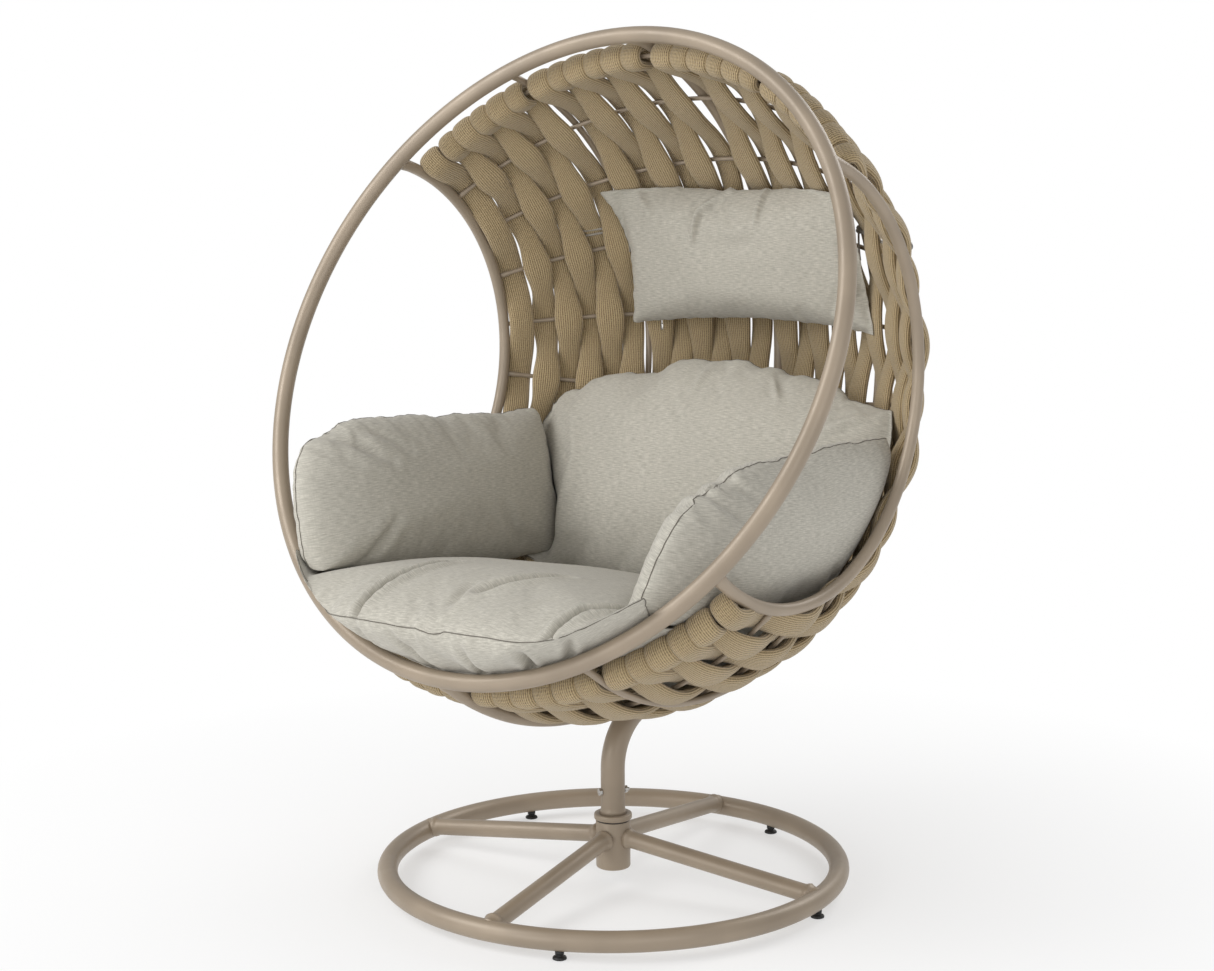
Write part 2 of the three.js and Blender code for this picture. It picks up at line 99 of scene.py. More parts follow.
def arc_of(node):
    """An arc in a plane of constant x: the plane, centre (y, z), radius and tube radius."""
    points = node_points(node)
    centre, radius = fit_circle(points[:, 1:])
    x = (points[:, 0].min() + points[:, 0].max()) / 2
    return {"x": x, "centre": centre, "radius": radius, "tube": points[:, 0].max() - x}


BASE = ring_of("base_ring")
AXIS_Y = BASE["centre"][1]
RING = ring_of("front_ring")
HOOP = arc_of("side_hoop_right")
SPINE = arc_of("spine")
SIDE_X = HOOP["x"]
BASKET = HOOP["centre"]
ROD_NODES = ["top_edge_rod"] + [f"rod_{i}" for i in range(1, 12)] + ["bottom_edge_rod"]
ROD_RADIUS = 4 * MM
ROD_SEAT = 1 * MM
RIB_RADIUS = 6 * MM
COLUMNS = 24
SPINE_SLOT = 28 * MM
RIB_SLOT = 16 * MM
HOOP_GAP = 6 * MM
RIB_COLUMN = 6
COLUMN_SPHERE = 0.573


def basket_angle(point):
    """Direction of a point from the basket's centre line, round the X axis."""
    return math.atan2(point[2] - BASKET[1], point[1] - BASKET[0])


def rod_angle_of(node):
    points = node_points(node)
    return basket_angle(points[np.abs(points[:, 0]) < 0.5 * SIDE_X].mean(0))


ROD_ANGLES = np.unwrap([rod_angle_of(node) for node in ROD_NODES])


# ---------------------------------------------------------------- the basket's surface
def spine_reach(theta):
    """Distance from the basket's centre line to the spine's centre line in direction theta."""
    dy, dz = SPINE["centre"] - BASKET
    along = dy * np.cos(theta) + dz * np.sin(theta)
    return along + np.sqrt(along**2 - dy**2 - dz**2 + SPINE["radius"] ** 2)


def rod_circle(theta):
    """Centre and radius of the arc that the basket's surface makes in the half plane theta."""
    middle = spine_reach(theta) - SPINE["tube"] - ROD_RADIUS - ROD_SEAT
    side = HOOP["radius"]
    centre = (middle**2 - SIDE_X**2 - side**2) / (2 * (middle - side))
    return centre, middle - centre


def on_basket(x, theta, offset=0.0):
    """Points at x on the surface of the rods, lifted outwards by offset."""
    centre, radius = rod_circle(theta)
    rise = np.sqrt(np.maximum(radius**2 - x**2, 0))
    reach = centre + rise + offset * rise / radius
    return np.stack(
        np.broadcast_arrays(
            x + offset * x / radius,
            BASKET[0] + reach * np.cos(theta),
            BASKET[1] + reach * np.sin(theta),
        ),
        -1,
    )


def rod_place(step):
    """The angle at a place counted in rods from the top edge, which may be a fraction."""
    return np.interp(step, np.arange(len(ROD_ANGLES)), ROD_ANGLES)


def across_to_x(arc):
    return COLUMN_SPHERE * np.sin(arc / COLUMN_SPHERE)


def column_pitch():
    end = COLUMN_SPHERE * math.asin(SIDE_X / COLUMN_SPHERE) - HOOP["tube"] - HOOP_GAP
    return (end - SPINE_SLOT / 2 - RIB_SLOT) / (COLUMNS // 2)


PITCH = column_pitch()


def column_arc(column):
    """Middle of a column as an arc length from the spine; columns run from -X to +X."""
    half = COLUMNS // 2
    side = -1 if column < half else 1
    place = half - 1 - column if column < half else column - half
    slots = SPINE_SLOT / 2 + (RIB_SLOT if place >= RIB_COLUMN else 0)
    return side * (slots + PITCH * (place + 0.5))


RIB_X = across_to_x((SPINE_SLOT + RIB_SLOT) / 2 + RIB_COLUMN * PITCH)


def ring_point(x, half):
    """The front ring's centre line at x, on its upper (+1) or lower (-1) half."""
    reach = half * math.sqrt(RING["radius"] ** 2 - x * x)
    return RING["centre"] + x * RING["right"] + reach * RING["up"]


# ---------------------------------------------------------------- mesh building
class Shape:
    """Vertices, faces, material numbers and weave places (metres of cloth) gathered for one piece."""

    def __init__(self):
        self.points, self.faces, self.slots, self.weave = [], [], [], []
        self.count = 0

    def add(self, points, faces, slot=0, weave=None):
        faces = [tuple(int(i) + self.count for i in face) for face in faces]
        self.points.append(np.asarray(points, float).reshape(-1, 3))
        self.count += len(self.points[-1])
        self.faces += faces
        self.slots += [slot] * len(faces)
        if weave is None:
            weave = [np.zeros((len(face), 2)) for face in faces]
        self.weave += list(weave)

    def loft(self, rings, slot=0, closed=False, along=None, around=None):
        """A skin over rings of points; open ends are closed with one flat face each."""
        rings = np.asarray(rings, float)
        rows, sides = rings.shape[:2]
        r = np.arange(rows if closed else rows - 1)[:, None]
        s = np.arange(sides)[None, :]
        row, row_next = r * sides, (r + 1) % rows * sides
        s_next = (s + 1) % sides
        quads = np.stack([row + s, row + s_next, row_next + s_next, row_next + s], -1)
        faces = list(quads.reshape(-1, 4))
        weave = None
        if along is not None:
            rise = np.broadcast_to(np.asarray(along)[r], (len(r), sides))
            rise_next = np.broadcast_to(np.asarray(along)[r + 1], (len(r), sides))
            left = np.broadcast_to(np.asarray(around)[s], (len(r), sides))
            right = np.broadcast_to(np.asarray(around)[s + 1], (len(r), sides))
            weave = np.stack([left, rise, right, rise, right, rise_next, left, rise_next], -1)
            weave = list(weave.reshape(-1, 4, 2))
        if not closed:
            faces.append(np.arange(sides)[::-1])
            faces.append(np.arange(sides) + (rows - 1) * sides)
            if weave is not None:
                weave += [np.zeros((sides, 2))] * 2
        self.add(rings.reshape(-1, 3), faces, slot, weave)

    def mesh(self, name):
        mesh = bpy.data.meshes.new(name)
        mesh.from_pydata(np.concatenate(self.points).tolist(), [], self.faces)
        mesh.update()
        layer = mesh.uv_layers.new(name="weave")
        layer.data.foreach_set("uv", np.concatenate(self.weave).astype(np.float32).ravel())
        return mesh

    def piece(self, name, materials, body, slot, nodes=()):
        mesh = self.mesh(name)
        for material in materials:
            mesh.materials.append(material)
        mesh.polygons.foreach_set("material_index", self.slots)
        mesh.polygons.foreach_set("use_smooth", [True] * len(self.faces))
        outwards(mesh)
        piece = added(name, mesh)
        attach(piece, body)
        if nodes:
            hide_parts(*nodes)
        return piece


def outwards(mesh):
    work = bmesh.new()
    work.from_mesh(mesh)
    bmesh.ops.recalc_face_normals(work, faces=work.faces)
    work.to_mesh(mesh)
    work.free()
    mesh.update()


def unit(vectors):
    return vectors / np.maximum(np.linalg.norm(vectors, axis=-1, keepdims=True), 1e-12)


def carried_frames(path, first_side, closed=False):
    """Two directions square to the path at each point, carried along without twisting."""
    if closed:
        tangent = unit(np.roll(path, -1, 0) - np.roll(path, 1, 0))
    else:
        tangent = unit(np.gradient(path, axis=0))
    side = np.zeros_like(path)
    last = np.asarray(first_side, float)
    for i, direction in enumerate(tangent):
        last = unit(last - direction * (last @ direction))
        side[i] = last
    return side, np.cross(tangent, side)


def tube_rings(path, radii, first_side, sides, closed=False):
    side, normal = carried_frames(path, first_side, closed)
    angle = round_angles(sides)
    radii = np.broadcast_to(radii, len(path))[:, None, None]
    circle = side[:, None] * np.cos(angle)[None, :, None] + normal[:, None] * np.sin(angle)[None, :, None]
    return path[:, None] + radii * circle


def welded_radii(path, radius, gaps, bead=2.6 * MM, reach=4.5 * MM):
    """Tube radii that swell to a weld bead where gap, the distance to the joined face, is nought."""
    ripple = 1 + 0.12 * np.sin(np.arange(len(path)) * 2.4)
    radii = np.full(len(path), radius)
    for gap in gaps:
        radii = radii + bead * ripple * np.exp(-((gap / reach) ** 2))
    return radii


def evened(path, steps, endpoint=True):
    """So many points spaced evenly along a line of points."""
    run = np.concatenate([[0], np.cumsum(np.linalg.norm(np.diff(path, axis=0), axis=1))])
    even = np.linspace(0, run[-1], steps, endpoint=endpoint)
    return np.stack([np.interp(even, run, path[:, k]) for k in range(3)], -1)


def seen_from_ring(points, ring):
    """Places in a ring's plane, and distances in front of it."""
    out = points - ring["centre"]
    flat = np.stack([out @ ring["right"], out @ ring["up"]], -1)
    return flat, out @ np.cross(ring["right"], ring["up"])


def ring_gap(points, ring):
    """Distance from points to the surface of a full ring."""
    flat, ahead = seen_from_ring(points, ring)
    return np.hypot(np.hypot(flat[:, 0], flat[:, 1]) - ring["radius"], ahead) - ring["tube"]


def turned(shape, centre, profile, sides, closed=False):
    """A round body on a vertical axis from (radius, height) pairs."""
    angle = round_angles(sides)
    rings = [
        np.stack([r * np.cos(angle), r * np.sin(angle), np.full(sides, z)], -1) + np.asarray(centre)
        for r, z in profile
    ]
    shape.loft(rings, closed=closed)


def rounded(corner, towards_a, towards_b, radius, steps=5):
    """Points that round a profile's corner, between its two neighbours."""
    corner, a, b = (np.asarray(p, float) for p in (corner, towards_a, towards_b))
    start = corner + unit(a - corner) * radius
    end = corner + unit(b - corner) * radius
    t = np.linspace(0, 1, steps)[:, None]
    return [tuple(p) for p in (1 - t) ** 2 * start + 2 * t * (1 - t) * corner + t**2 * end]


# ---------------------------------------------------------------- materials
def new_material(name):
    material = bpy.data.materials.new(name)
    material.use_nodes = True
    tree = material.node_tree
    return material, tree, tree.nodes["Principled BSDF"]


def plugged(tree, made, inputs):
    """The node with each input linked to a socket or set to a value."""
    for key, value in inputs.items():
        if isinstance(value, bpy.types.NodeSocket):
            tree.links.new(value, made.inputs[key])
        else:
            made.inputs[key].default_value = value
    return made


def node(tree, kind, inputs=None, **settings):
    made = tree.nodes.new("ShaderNode" + kind)
    for key, value in settings.items():
        setattr(made, key, value)
    return plugged(tree, made, inputs or {})


def maths(tree, operation, *values):
    return node(tree, "Math", dict(enumerate(values)), operation=operation).outputs[0]


def colour_mix(tree, factor, a, b):
    return node(tree, "Mix", {0: factor, 6: a, 7: b}, data_type="RGBA").outputs[2]


def wave(tree, turns):
    """A cosine of so many turns, between 0 and 1."""
    angle = maths(tree, "MULTIPLY", turns, 2 * math.pi)
    return maths(tree, "MULTIPLY_ADD", maths(tree, "COSINE", angle), 0.5, 0.5)


def place_noise(tree, scale, detail=3.0, stretch=(1, 1, 1)):
    """Noise in metres of the object's own space."""
    place = node(tree, "TexCoord").outputs["Object"]
    place = node(tree, "Mapping", {"Vector": place, "Scale": stretch}).outputs[0]
    return node(tree, "TexNoise", {"Vector": place, "Scale": scale, "Detail": detail}).outputs["Fac"]


def ranged(tree, value, low, high, to_low, to_high):
    inputs = {"Value": value, "From Min": low, "From Max": high, "To Min": to_low, "To Max": to_high}
    return node(tree, "MapRange", inputs).outputs["Result"]


def darker(colour, share):
    return tuple(c * share for c in colour[:3]) + (1,)


def bumped(tree, shader, height, distance, strength=1.0):
    bump = node(tree, "Bump", {"Height": height, "Distance": distance, "Strength": strength})
    tree.links.new(bump.outputs["Normal"], shader.inputs["Normal"])


def painted_metal(name, colour):
    """Powder coat: fine orange peel, faint cloudiness in colour and gloss."""
    material, tree, shader = new_material(name)
    clouds = place_noise(tree, 9, 2)
    tint = colour_mix(tree, ranged(tree, clouds, 0.35, 0.65, 0, 1), darker(colour, 0.86), colour)
    peel = place_noise(tree, 900, 2)
    gloss = ranged(tree, place_noise(tree, 35, 3), 0.3, 0.7, 0.36, 0.46)
    plugged(tree, shader, {"Base Color": tint, "Roughness": gloss, "Metallic": 0.15})
    bumped(tree, shader, peel, 0.08 * MM, 0.5)
    return material


def moulded_plastic():
    material, tree, shader = new_material("black_plastic")
    grain = place_noise(tree, 700, 3)
    gloss = ranged(tree, grain, 0.3, 0.7, 0.42, 0.62)
    plugged(tree, shader, {"Base Color": (0.012, 0.012, 0.012, 1), "Roughness": gloss})
    bumped(tree, shader, grain, 0.1 * MM, 0.6)
    return material


def bare_steel(name, colour, roughness):
    """Plated steel with fine turning marks and a little dulling."""
    material, tree, shader = new_material(name)
    marks = place_noise(tree, 260, 3, (1, 1, 9))
    gloss = ranged(tree, marks, 0.3, 0.7, roughness - 0.06, roughness + 0.1)
    plugged(tree, shader, {"Base Color": colour, "Metallic": 1.0, "Roughness": gloss})
    bumped(tree, shader, marks, 0.05 * MM, 0.4)
    return material


RIB_OF_KNIT = 4.4 * MM
STITCH_OF_KNIT = 3.4 * MM
STITCH_SHARE = 0.26
# painted shade: the near-black colour laid into the knit's grooves
KNIT_GROOVE_SHADE = (0.12, 0.082, 0.036, 1)
KNIT_CROWN = (0.53, 0.41, 0.235, 1)
KNIT_YARN = (0.64, 0.5, 0.31, 1)
KNIT_FIBRE = (0.28, 0.195, 0.095, 1)
KNIT_PATCH = (0.38, 0.28, 0.15, 1)


def knitted_belt():
    """Ribbed tubular knit: rows of V stitches, light crowns over grooves darkened with painted shade."""
    material, tree, shader = new_material("knitted_belt")
    weave = node(tree, "UVMap", uv_map="weave").outputs[0]
    split = node(tree, "SeparateXYZ", {"Vector": weave})
    across, along = split.outputs[0], split.outputs[1]
    column = maths(tree, "DIVIDE", across, RIB_OF_KNIT)
    crown = wave(tree, column)
    lean = maths(tree, "PINGPONG", column, 0.5)
    row = maths(tree, "ADD", maths(tree, "DIVIDE", along, STITCH_OF_KNIT), lean)
    ribs = maths(tree, "MULTIPLY", crown, 1 - STITCH_SHARE)
    height = maths(tree, "MULTIPLY_ADD", wave(tree, row), STITCH_SHARE, ribs)
    fibres = place_noise(tree, 1500, 2)
    yarn = node(tree, "TexNoise", {"Vector": weave, "Scale": 420.0, "Detail": 2.0}).outputs["Fac"]
    patch = place_noise(tree, 14, 3)
    # painted shade: with the rib height the grooves go dark and the crowns stay light
    base = colour_mix(tree, ranged(tree, height, 0.1, 0.8, 0, 1), KNIT_GROOVE_SHADE, KNIT_CROWN)
    base = colour_mix(tree, ranged(tree, yarn, 0.42, 0.62, 0, 0.4), base, KNIT_YARN)
    base = colour_mix(tree, ranged(tree, fibres, 0.4, 0.65, 0.0, 0.25), base, KNIT_FIBRE)
    base = colour_mix(tree, ranged(tree, patch, 0.35, 0.7, 0.0, 0.2), base, KNIT_PATCH)
    plugged(tree, shader, {
        "Base Color": base, "Roughness": 0.86, "Specular IOR Level": 0.25,
        "Sheen Weight": 0.25, "Sheen Roughness": 0.5,
    })
    relief = maths(tree, "MULTIPLY_ADD", fibres, 0.25, height)
    bumped(tree, shader, relief, 1.4 * MM, 1.0)
    return material


def cushion_cloth(name, light, dark, thread=1.5 * MM):
    """Melange linen-look cloth: slubbed warp and weft streaks over a fine plain weave."""
    material, tree, shader = new_material(name)
    weave = node(tree, "UVMap", uv_map="weave").outputs[0]

    def streaks(scale_u, scale_v, detail):
        stretched = node(tree, "Mapping", {"Vector": weave, "Scale": (scale_u, scale_v, 1)}).outputs[0]
        return node(tree, "TexNoise", {"Vector": stretched, "Scale": 1.0, "Detail": detail}).outputs["Fac"]

    warp = streaks(75, 650, 3)
    weft = streaks(650, 75, 3)
    clouds = streaks(9, 9, 3)
    base = colour_mix(tree, ranged(tree, warp, 0.34, 0.66, 0, 1), dark, light)
    base = colour_mix(tree, ranged(tree, weft, 0.42, 0.64, 0, 0.35), base, dark)
    base = colour_mix(tree, ranged(tree, clouds, 0.35, 0.7, 0, 0.12), base, darker(dark, 0.7))
    plugged(tree, shader, {
        "Base Color": base, "Roughness": 0.92, "Specular IOR Level": 0.2, "Sheen Weight": 0.18,
    })
    split = node(tree, "SeparateXYZ", {"Vector": weave})
    turns = 2 * math.pi / thread
    over = maths(tree, "SINE", maths(tree, "MULTIPLY", split.outputs[0], turns))
    under = maths(tree, "SINE", maths(tree, "MULTIPLY", split.outputs[1], turns))
    plain = maths(tree, "MULTIPLY", over, under)
    relief = maths(tree, "ADD", maths(tree, "MULTIPLY", plain, 0.35), maths(tree, "MULTIPLY", warp, 0.9))
    bumped(tree, shader, relief, 0.35 * MM, 0.55)
    return material


PAINT = painted_metal("taupe_paint", (0.335, 0.27, 0.2, 1))
PLASTIC = moulded_plastic()
ZINC = bare_steel("zinc_steel", (0.6, 0.59, 0.57, 1), 0.26)
TOGGLE_METAL = bare_steel("toggle_metal", (0.16, 0.155, 0.15, 1), 0.32)
KNIT = knitted_belt()
CLOTH = cushion_cloth("cushion_cloth", (0.58, 0.555, 0.485, 1), (0.385, 0.365, 0.315, 1))
# painted shade: a dark line along the sewn seams stands in for the shade in their grooves
SEAM_SHADE = cushion_cloth("seam_shade_line", (0.2, 0.18, 0.15, 1), (0.12, 0.11, 0.09, 1), 1 * MM)
TAPE = cushion_cloth("tie_tape", (0.4, 0.37, 0.32, 1), (0.26, 0.235, 0.2, 1), 1.2 * MM)


# ---------------------------------------------------------------- base
SPOKE_RADIUS = 15 * MM
HUB_WALL = 5 * MM
HUB_RIM = 4 * MM
GLIDE_PROFILE = (
    (0.86, 0), (1, 0.8), (1, 2.6), (0.93, 4.2), (0.74, 5.6), (0.5, 6.4), (0.5, 8.4), (0.64, 8.8),
)
GLIDE_ENTRY = 2 * MM


def make_base():
    full_ring("base_hoop", BASE, 192, (0, 0, 1), "base", "base_ring")
    low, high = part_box("hub")
    hub_radius = (high.x - low.x) / 2
    for number in range(1, 5):
        points = node_points(f"spoke_{number}")
        out = points - BASE["centre"]
        far = out[np.hypot(out[:, 0], out[:, 1]) > 0.75 * BASE["radius"]].mean(0)
        azimuth = math.atan2(far[1], far[0])
        flat = np.array([math.cos(azimuth), math.sin(azimuth), 0])
        start = np.array([0, AXIS_Y, points[:, 2].max() - SPOKE_RADIUS]) + flat * 0.6 * hub_radius
        end = np.array([0, AXIS_Y, points[:, 2].min() + SPOKE_RADIUS]) + flat * BASE["radius"]
        path = start + (end - start) * np.linspace(0, 1, 220)[:, None]
        hub_gap = np.hypot(path[:, 0], path[:, 1] - AXIS_Y) - hub_radius - SPOKE_RADIUS * 0.15
        radii = welded_radii(path, SPOKE_RADIUS, [hub_gap, ring_gap(path, BASE)], 3.2 * MM, 5 * MM)
        tube_piece(f"spoke_bar_{number}", path, radii, (0, 0, 1), 24, "base", f"spoke_{number}")
    make_sleeve("hub_tube", "base", "hub", hub_radius - HUB_WALL, HUB_RIM, HUB_RIM / 4, 3)
    make_feet()


def circle_path(ring, around):
    across = np.outer(np.cos(around), ring["right"]) + np.outer(np.sin(around), ring["up"])
    return ring["centre"] + ring["radius"] * across


def arc_path(x, arc, angle):
    """Points at the given angles on an arc in the plane of constant x."""
    out = arc["radius"] * np.stack([0 * angle, np.cos(angle), np.sin(angle)], -1)
    return out + (x, *arc["centre"])


def full_ring(name, ring, steps, first_side, body, replaced):
    path = circle_path(ring, np.linspace(0, 2 * math.pi, steps, endpoint=False))
    tube_piece(name, path, ring["tube"], first_side, 28, body, replaced, closed=True)


def tube_piece(name, path, radii, first_side, sides, body, replaced, closed=False):
    shape = Shape()
    shape.loft(tube_rings(path, radii, first_side, sides, closed), closed=closed)
    shape.piece(name, [PAINT], body, "taupe_paint", [replaced])


def make_sleeve(name, body, replaced, bore, low_rim, high_rim, high_steps=5):
    """A short upright tube in a CAD node's place, with rounded outer rims."""
    low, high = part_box(replaced)
    radius = (high.x - low.x) / 2
    profile = (
        rounded((radius, low.z), (bore, low.z), (radius, high.z), low_rim)
        + rounded((radius, high.z), (radius, low.z), (bore, high.z), high_rim, high_steps)
        + [(bore, high.z), (bore, low.z)]
    )
    shape = Shape()
    turned(shape, (0, AXIS_Y, 0), profile, 56, closed=True)
    shape.piece(name, [PAINT], body, "taupe_paint", [replaced])


def make_feet():
    """Floor glides: a domed pad, a waist and a stem up into the ring."""
    for number in range(1, 6):
        low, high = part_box(f"foot_{number}")
        centre = ((low.x + high.x) / 2, (low.y + high.y) / 2, 0)
        pad = (high.x - low.x) / 2
        profile = [(share * pad, height * MM) for share, height in GLIDE_PROFILE]
        profile.append((profile[-1][0], high.z + GLIDE_ENTRY))
        shape = Shape()
        turned(shape, centre, profile, 32)
        shape.piece(f"foot_glide_{number}", [PLASTIC], "base", "foot_plastic", [f"foot_{number}"])


# ---------------------------------------------------------------- post
POST_RADIUS = 21 * MM
POST_GAP = 1 * MM
POST_BEND = 0.1
COLLAR_BORE = 18 * MM
COLLAR_RIM = 3 * MM


def make_post():
    """Straight up from the collar, back under the basket, then up along its spine."""
    arc_radius = SPINE["radius"] + SPINE["tube"] + POST_RADIUS + POST_GAP
    collar_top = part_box("collar")[1].z
    spine_y, spine_z = SPINE["centre"]
    bend_y = AXIS_Y + POST_BEND
    bend_z = spine_z - math.sqrt((arc_radius + POST_BEND) ** 2 - (bend_y - spine_y) ** 2)
    turn = math.atan2(spine_z - bend_z, bend_y - spine_y)
    points = node_points("post")
    end_angle = max(np.arctan2(points[:, 2] - spine_z, points[:, 1] - spine_y))
    straight = [(AXIS_Y, z) for z in np.linspace(collar_top, bend_z, 24, endpoint=False)]
    bent = [
        (bend_y - POST_BEND * math.cos(a), bend_z + POST_BEND * math.sin(a))
        for a in np.linspace(0, turn, 16, endpoint=False)
    ]
    swept = [
        (spine_y + arc_radius * math.cos(a), spine_z + arc_radius * math.sin(a))
        for a in np.linspace(-turn, end_angle, 60)
    ]
    corners = np.array([(0, y, z) for y, z in straight + bent + swept])
    place = np.linspace(0, 1, 1200) * (len(corners) - 1)
    path = evened(np.stack([np.interp(place, range(len(corners)), line) for line in corners.T], -1), 150)
    radii = welded_radii(path, POST_RADIUS, [path[:, 2] - collar_top], 3 * MM, 4 * MM)
    rings = tube_rings(path, radii, (1, 0, 0), 36)
    cap = tube_end(rings[-1], path[-1], path[-1] - path[-2], 5 * MM)
    shape = Shape()
    shape.loft(np.concatenate([rings, cap]))
    shape.piece("swan_neck", [PAINT], "basket", "taupe_paint", ["post"])
    make_sleeve("post_collar", "basket", "collar", COLLAR_BORE, COLLAR_RIM, COLLAR_RIM)


def tube_end(ring, centre, direction, depth, steps=5):
    """Rings that close a tube with a low dome."""
    direction = unit(np.asarray(direction))
    rise = np.linspace(0, math.pi / 2, steps + 1)[1:] * 0.93
    return [centre + (ring - centre) * math.cos(a) + direction * depth * math.sin(a) for a in rise]


# ---------------------------------------------------------------- basket frame
def make_basket_frame():
    full_ring("front_hoop", RING, 256, (0, 1, 0), "basket", "front_ring")
    top, bottom = (basket_angle(ring_point(SIDE_X, half)) for half in (1, -1))
    for name, side in (("left", -1), ("right", 1)):
        path = arc_path(side * SIDE_X, HOOP, np.linspace(top, bottom, 140))
        radii = welded_radii(path, HOOP["tube"], [ring_gap(path, RING)])
        add_bar(f"side_bar_{name}", path, radii, 22, f"side_hoop_{name}")

    spine_y, spine_z = SPINE["centre"]
    ends = [math.atan2(p[2] - spine_z, p[1] - spine_y) for p in (ring_point(0, 1), ring_point(0, -1))]
    path = arc_path(0, SPINE, np.linspace(ends[0], ends[1], 180))
    radii = welded_radii(path, SPINE["tube"], [ring_gap(path, RING)])
    add_bar("back_spine", path, radii, 22, "spine")

    lift = ROD_RADIUS + RIB_RADIUS + ROD_SEAT
    for name, side in (("left", -1), ("right", 1)):
        x = side * RIB_X
        steps = np.linspace(0, len(ROD_ANGLES) - 1, 120)
        middle = on_basket(np.full(len(steps), x), rod_place(steps), lift)
        outer_x = on_basket(x, 0.0, lift)[0]
        path = joined_path(ring_point(outer_x, 1), middle, ring_point(outer_x, -1))
        radii = welded_radii(path, RIB_RADIUS, [ring_gap(path, RING)], 2 * MM)
        add_bar(f"back_rib_{name}", path, radii, 16, f"rib_{name}")

    for number, (node_name, theta) in enumerate(zip(ROD_NODES, ROD_ANGLES)):
        x = np.linspace(-1, 1, 120) * (SIDE_X - 0.4 * HOOP["tube"])
        path = on_basket(x, np.full(len(x), theta))
        gap = SIDE_X - HOOP["tube"] - np.abs(x)
        radii = welded_radii(path, ROD_RADIUS, [gap], 1.6 * MM, 3 * MM)
        add_bar(f"cross_rod_{number}", path, radii, 12, node_name)


def add_bar(name, path, radii, sides, replaced):
    tube_piece(name, path, radii, (0.3, 0.2, 1), sides, "basket", replaced)


def joined_path(start, middle, end):
    """The middle run with both ends eased straight on to the given points."""
    path = evened(np.concatenate([[start], middle, [end]]), 200)
    kernel = np.hanning(9) / np.hanning(9).sum()
    padded = np.concatenate([path[:1].repeat(4, 0), path, path[-1:].repeat(4, 0)])
    smooth = np.stack([np.convolve(padded[:, k], kernel, "valid") for k in range(3)], -1)
    smooth[0], smooth[-1] = path[0], path[-1]
    return smooth


# ---------------------------------------------------------------- woven belts
BELT_SWING = 12.5 * MM
BELT_THICK = 17 * MM
BELT_THICK_BETWEEN = 19 * MM
BELT_WIDE = 54 * MM
BELT_WIDE_BY_HOOP = 47 * MM
BELT_WIDE_BY_TUBE = 43 * MM
BELT_NARROW = 41 * MM
BELT_TO_HOOP = 4 * MM
KNUCKLE = (46 * MM, 38 * MM)
HEM_GROWTH = 0.24
TAIL = 24 * MM
SECTION_SIDES = 40
BELT_WANDER = 0.8 * MM
BELT_UNEVEN = 0.035


def belt_section():
    """A flat knitted tube across: (share of half width, share of half thickness) pairs."""
    a = np.arange(SECTION_SIDES + 1) * 2 * math.pi / SECTION_SIDES
    wide = np.sign(np.cos(a)) * np.abs(np.cos(a)) ** (2 / 2.7)
    thick = np.sign(np.sin(a)) * np.abs(np.sin(a)) ** (2 / 2.15)
    return wide, thick


def column_path(column):
    """Angle, offset, width and thickness along one column, from tail end to tail end."""
    side = -1 if column % 2 == 0 else 1
    knuckle = KNUCKLE[column % 2]
    place = abs(column - (COLUMNS - 1) / 2) - 0.5
    by_tube = place in (0, RIB_COLUMN - 1, RIB_COLUMN)
    inside = BELT_WIDE_BY_HOOP if place == COLUMNS // 2 - 1 else BELT_WIDE
    outside = BELT_WIDE_BY_TUBE if by_tube else inside
    last = len(ROD_ANGLES) - 1
    beside_hoop = place == COLUMNS // 2 - 1
    x = across_to_x(column_arc(column)) + beside_hoop * BELT_TO_HOOP * np.sign(column - COLUMNS / 2)
    narrow = BELT_NARROW + beside_hoop * 2 * BELT_TO_HOOP

    step = np.linspace(0, last, last * 14 + 1)
    edge = np.minimum(step, last - step)
    hem = 1 + HEM_GROWTH * np.clip(1 - edge / 0.6, 0, 1)
    swing = side * BELT_SWING * np.cos(math.pi * step) * hem
    at_rod = np.cos(math.pi * step) ** 2
    wide = np.where(swing < 0, inside, outside)
    width = narrow + (wide - narrow) * at_rod
    width = width + (knuckle - width) * np.clip(1 - edge / 0.45, 0, 1) ** 1.5
    thick = (BELT_THICK_BETWEEN + (BELT_THICK - BELT_THICK_BETWEEN) * at_rod) * hem
    theta = rod_place(step)

    wrap = np.linspace(0, math.pi, 12)[1:]
    tail = np.linspace(0, 1, 7)[1:]
    wrap_radius = BELT_SWING * (1 + HEM_GROWTH)
    hem_full = BELT_THICK * (1 + HEM_GROWTH)
    beyond = np.concatenate([wrap_radius * np.sin(wrap), -TAIL * tail])
    lift = np.concatenate([np.cos(wrap), -1 + 0.5 * tail**1.3]) * side * wrap_radius
    hem_width = np.full(len(beyond), knuckle)
    hem_thick = np.concatenate([np.full(len(wrap), hem_full), hem_full * (1 - 0.3 * tail)])
    radius = np.linalg.norm(on_basket(x, ROD_ANGLES[0])[1:] - BASKET)
    top = (ROD_ANGLES[0] + beyond / radius)[::-1]
    radius = np.linalg.norm(on_basket(x, ROD_ANGLES[-1])[1:] - BASKET)
    bottom = ROD_ANGLES[-1] - beyond / radius
    return {
        "x": x,
        "theta": np.concatenate([top, theta, bottom]),
        "offset": np.concatenate([lift[::-1], swing, lift]),
        "width": np.concatenate([hem_width[::-1], width, hem_width]),
        "thick": np.concatenate([hem_thick[::-1], thick, hem_thick]),
    }


def uneven(steps, changes):
    """A value that drifts at random between -1 and 1."""
    return np.interp(np.arange(steps), np.linspace(0, steps - 1, changes), random.uniform(-1, 1, changes))


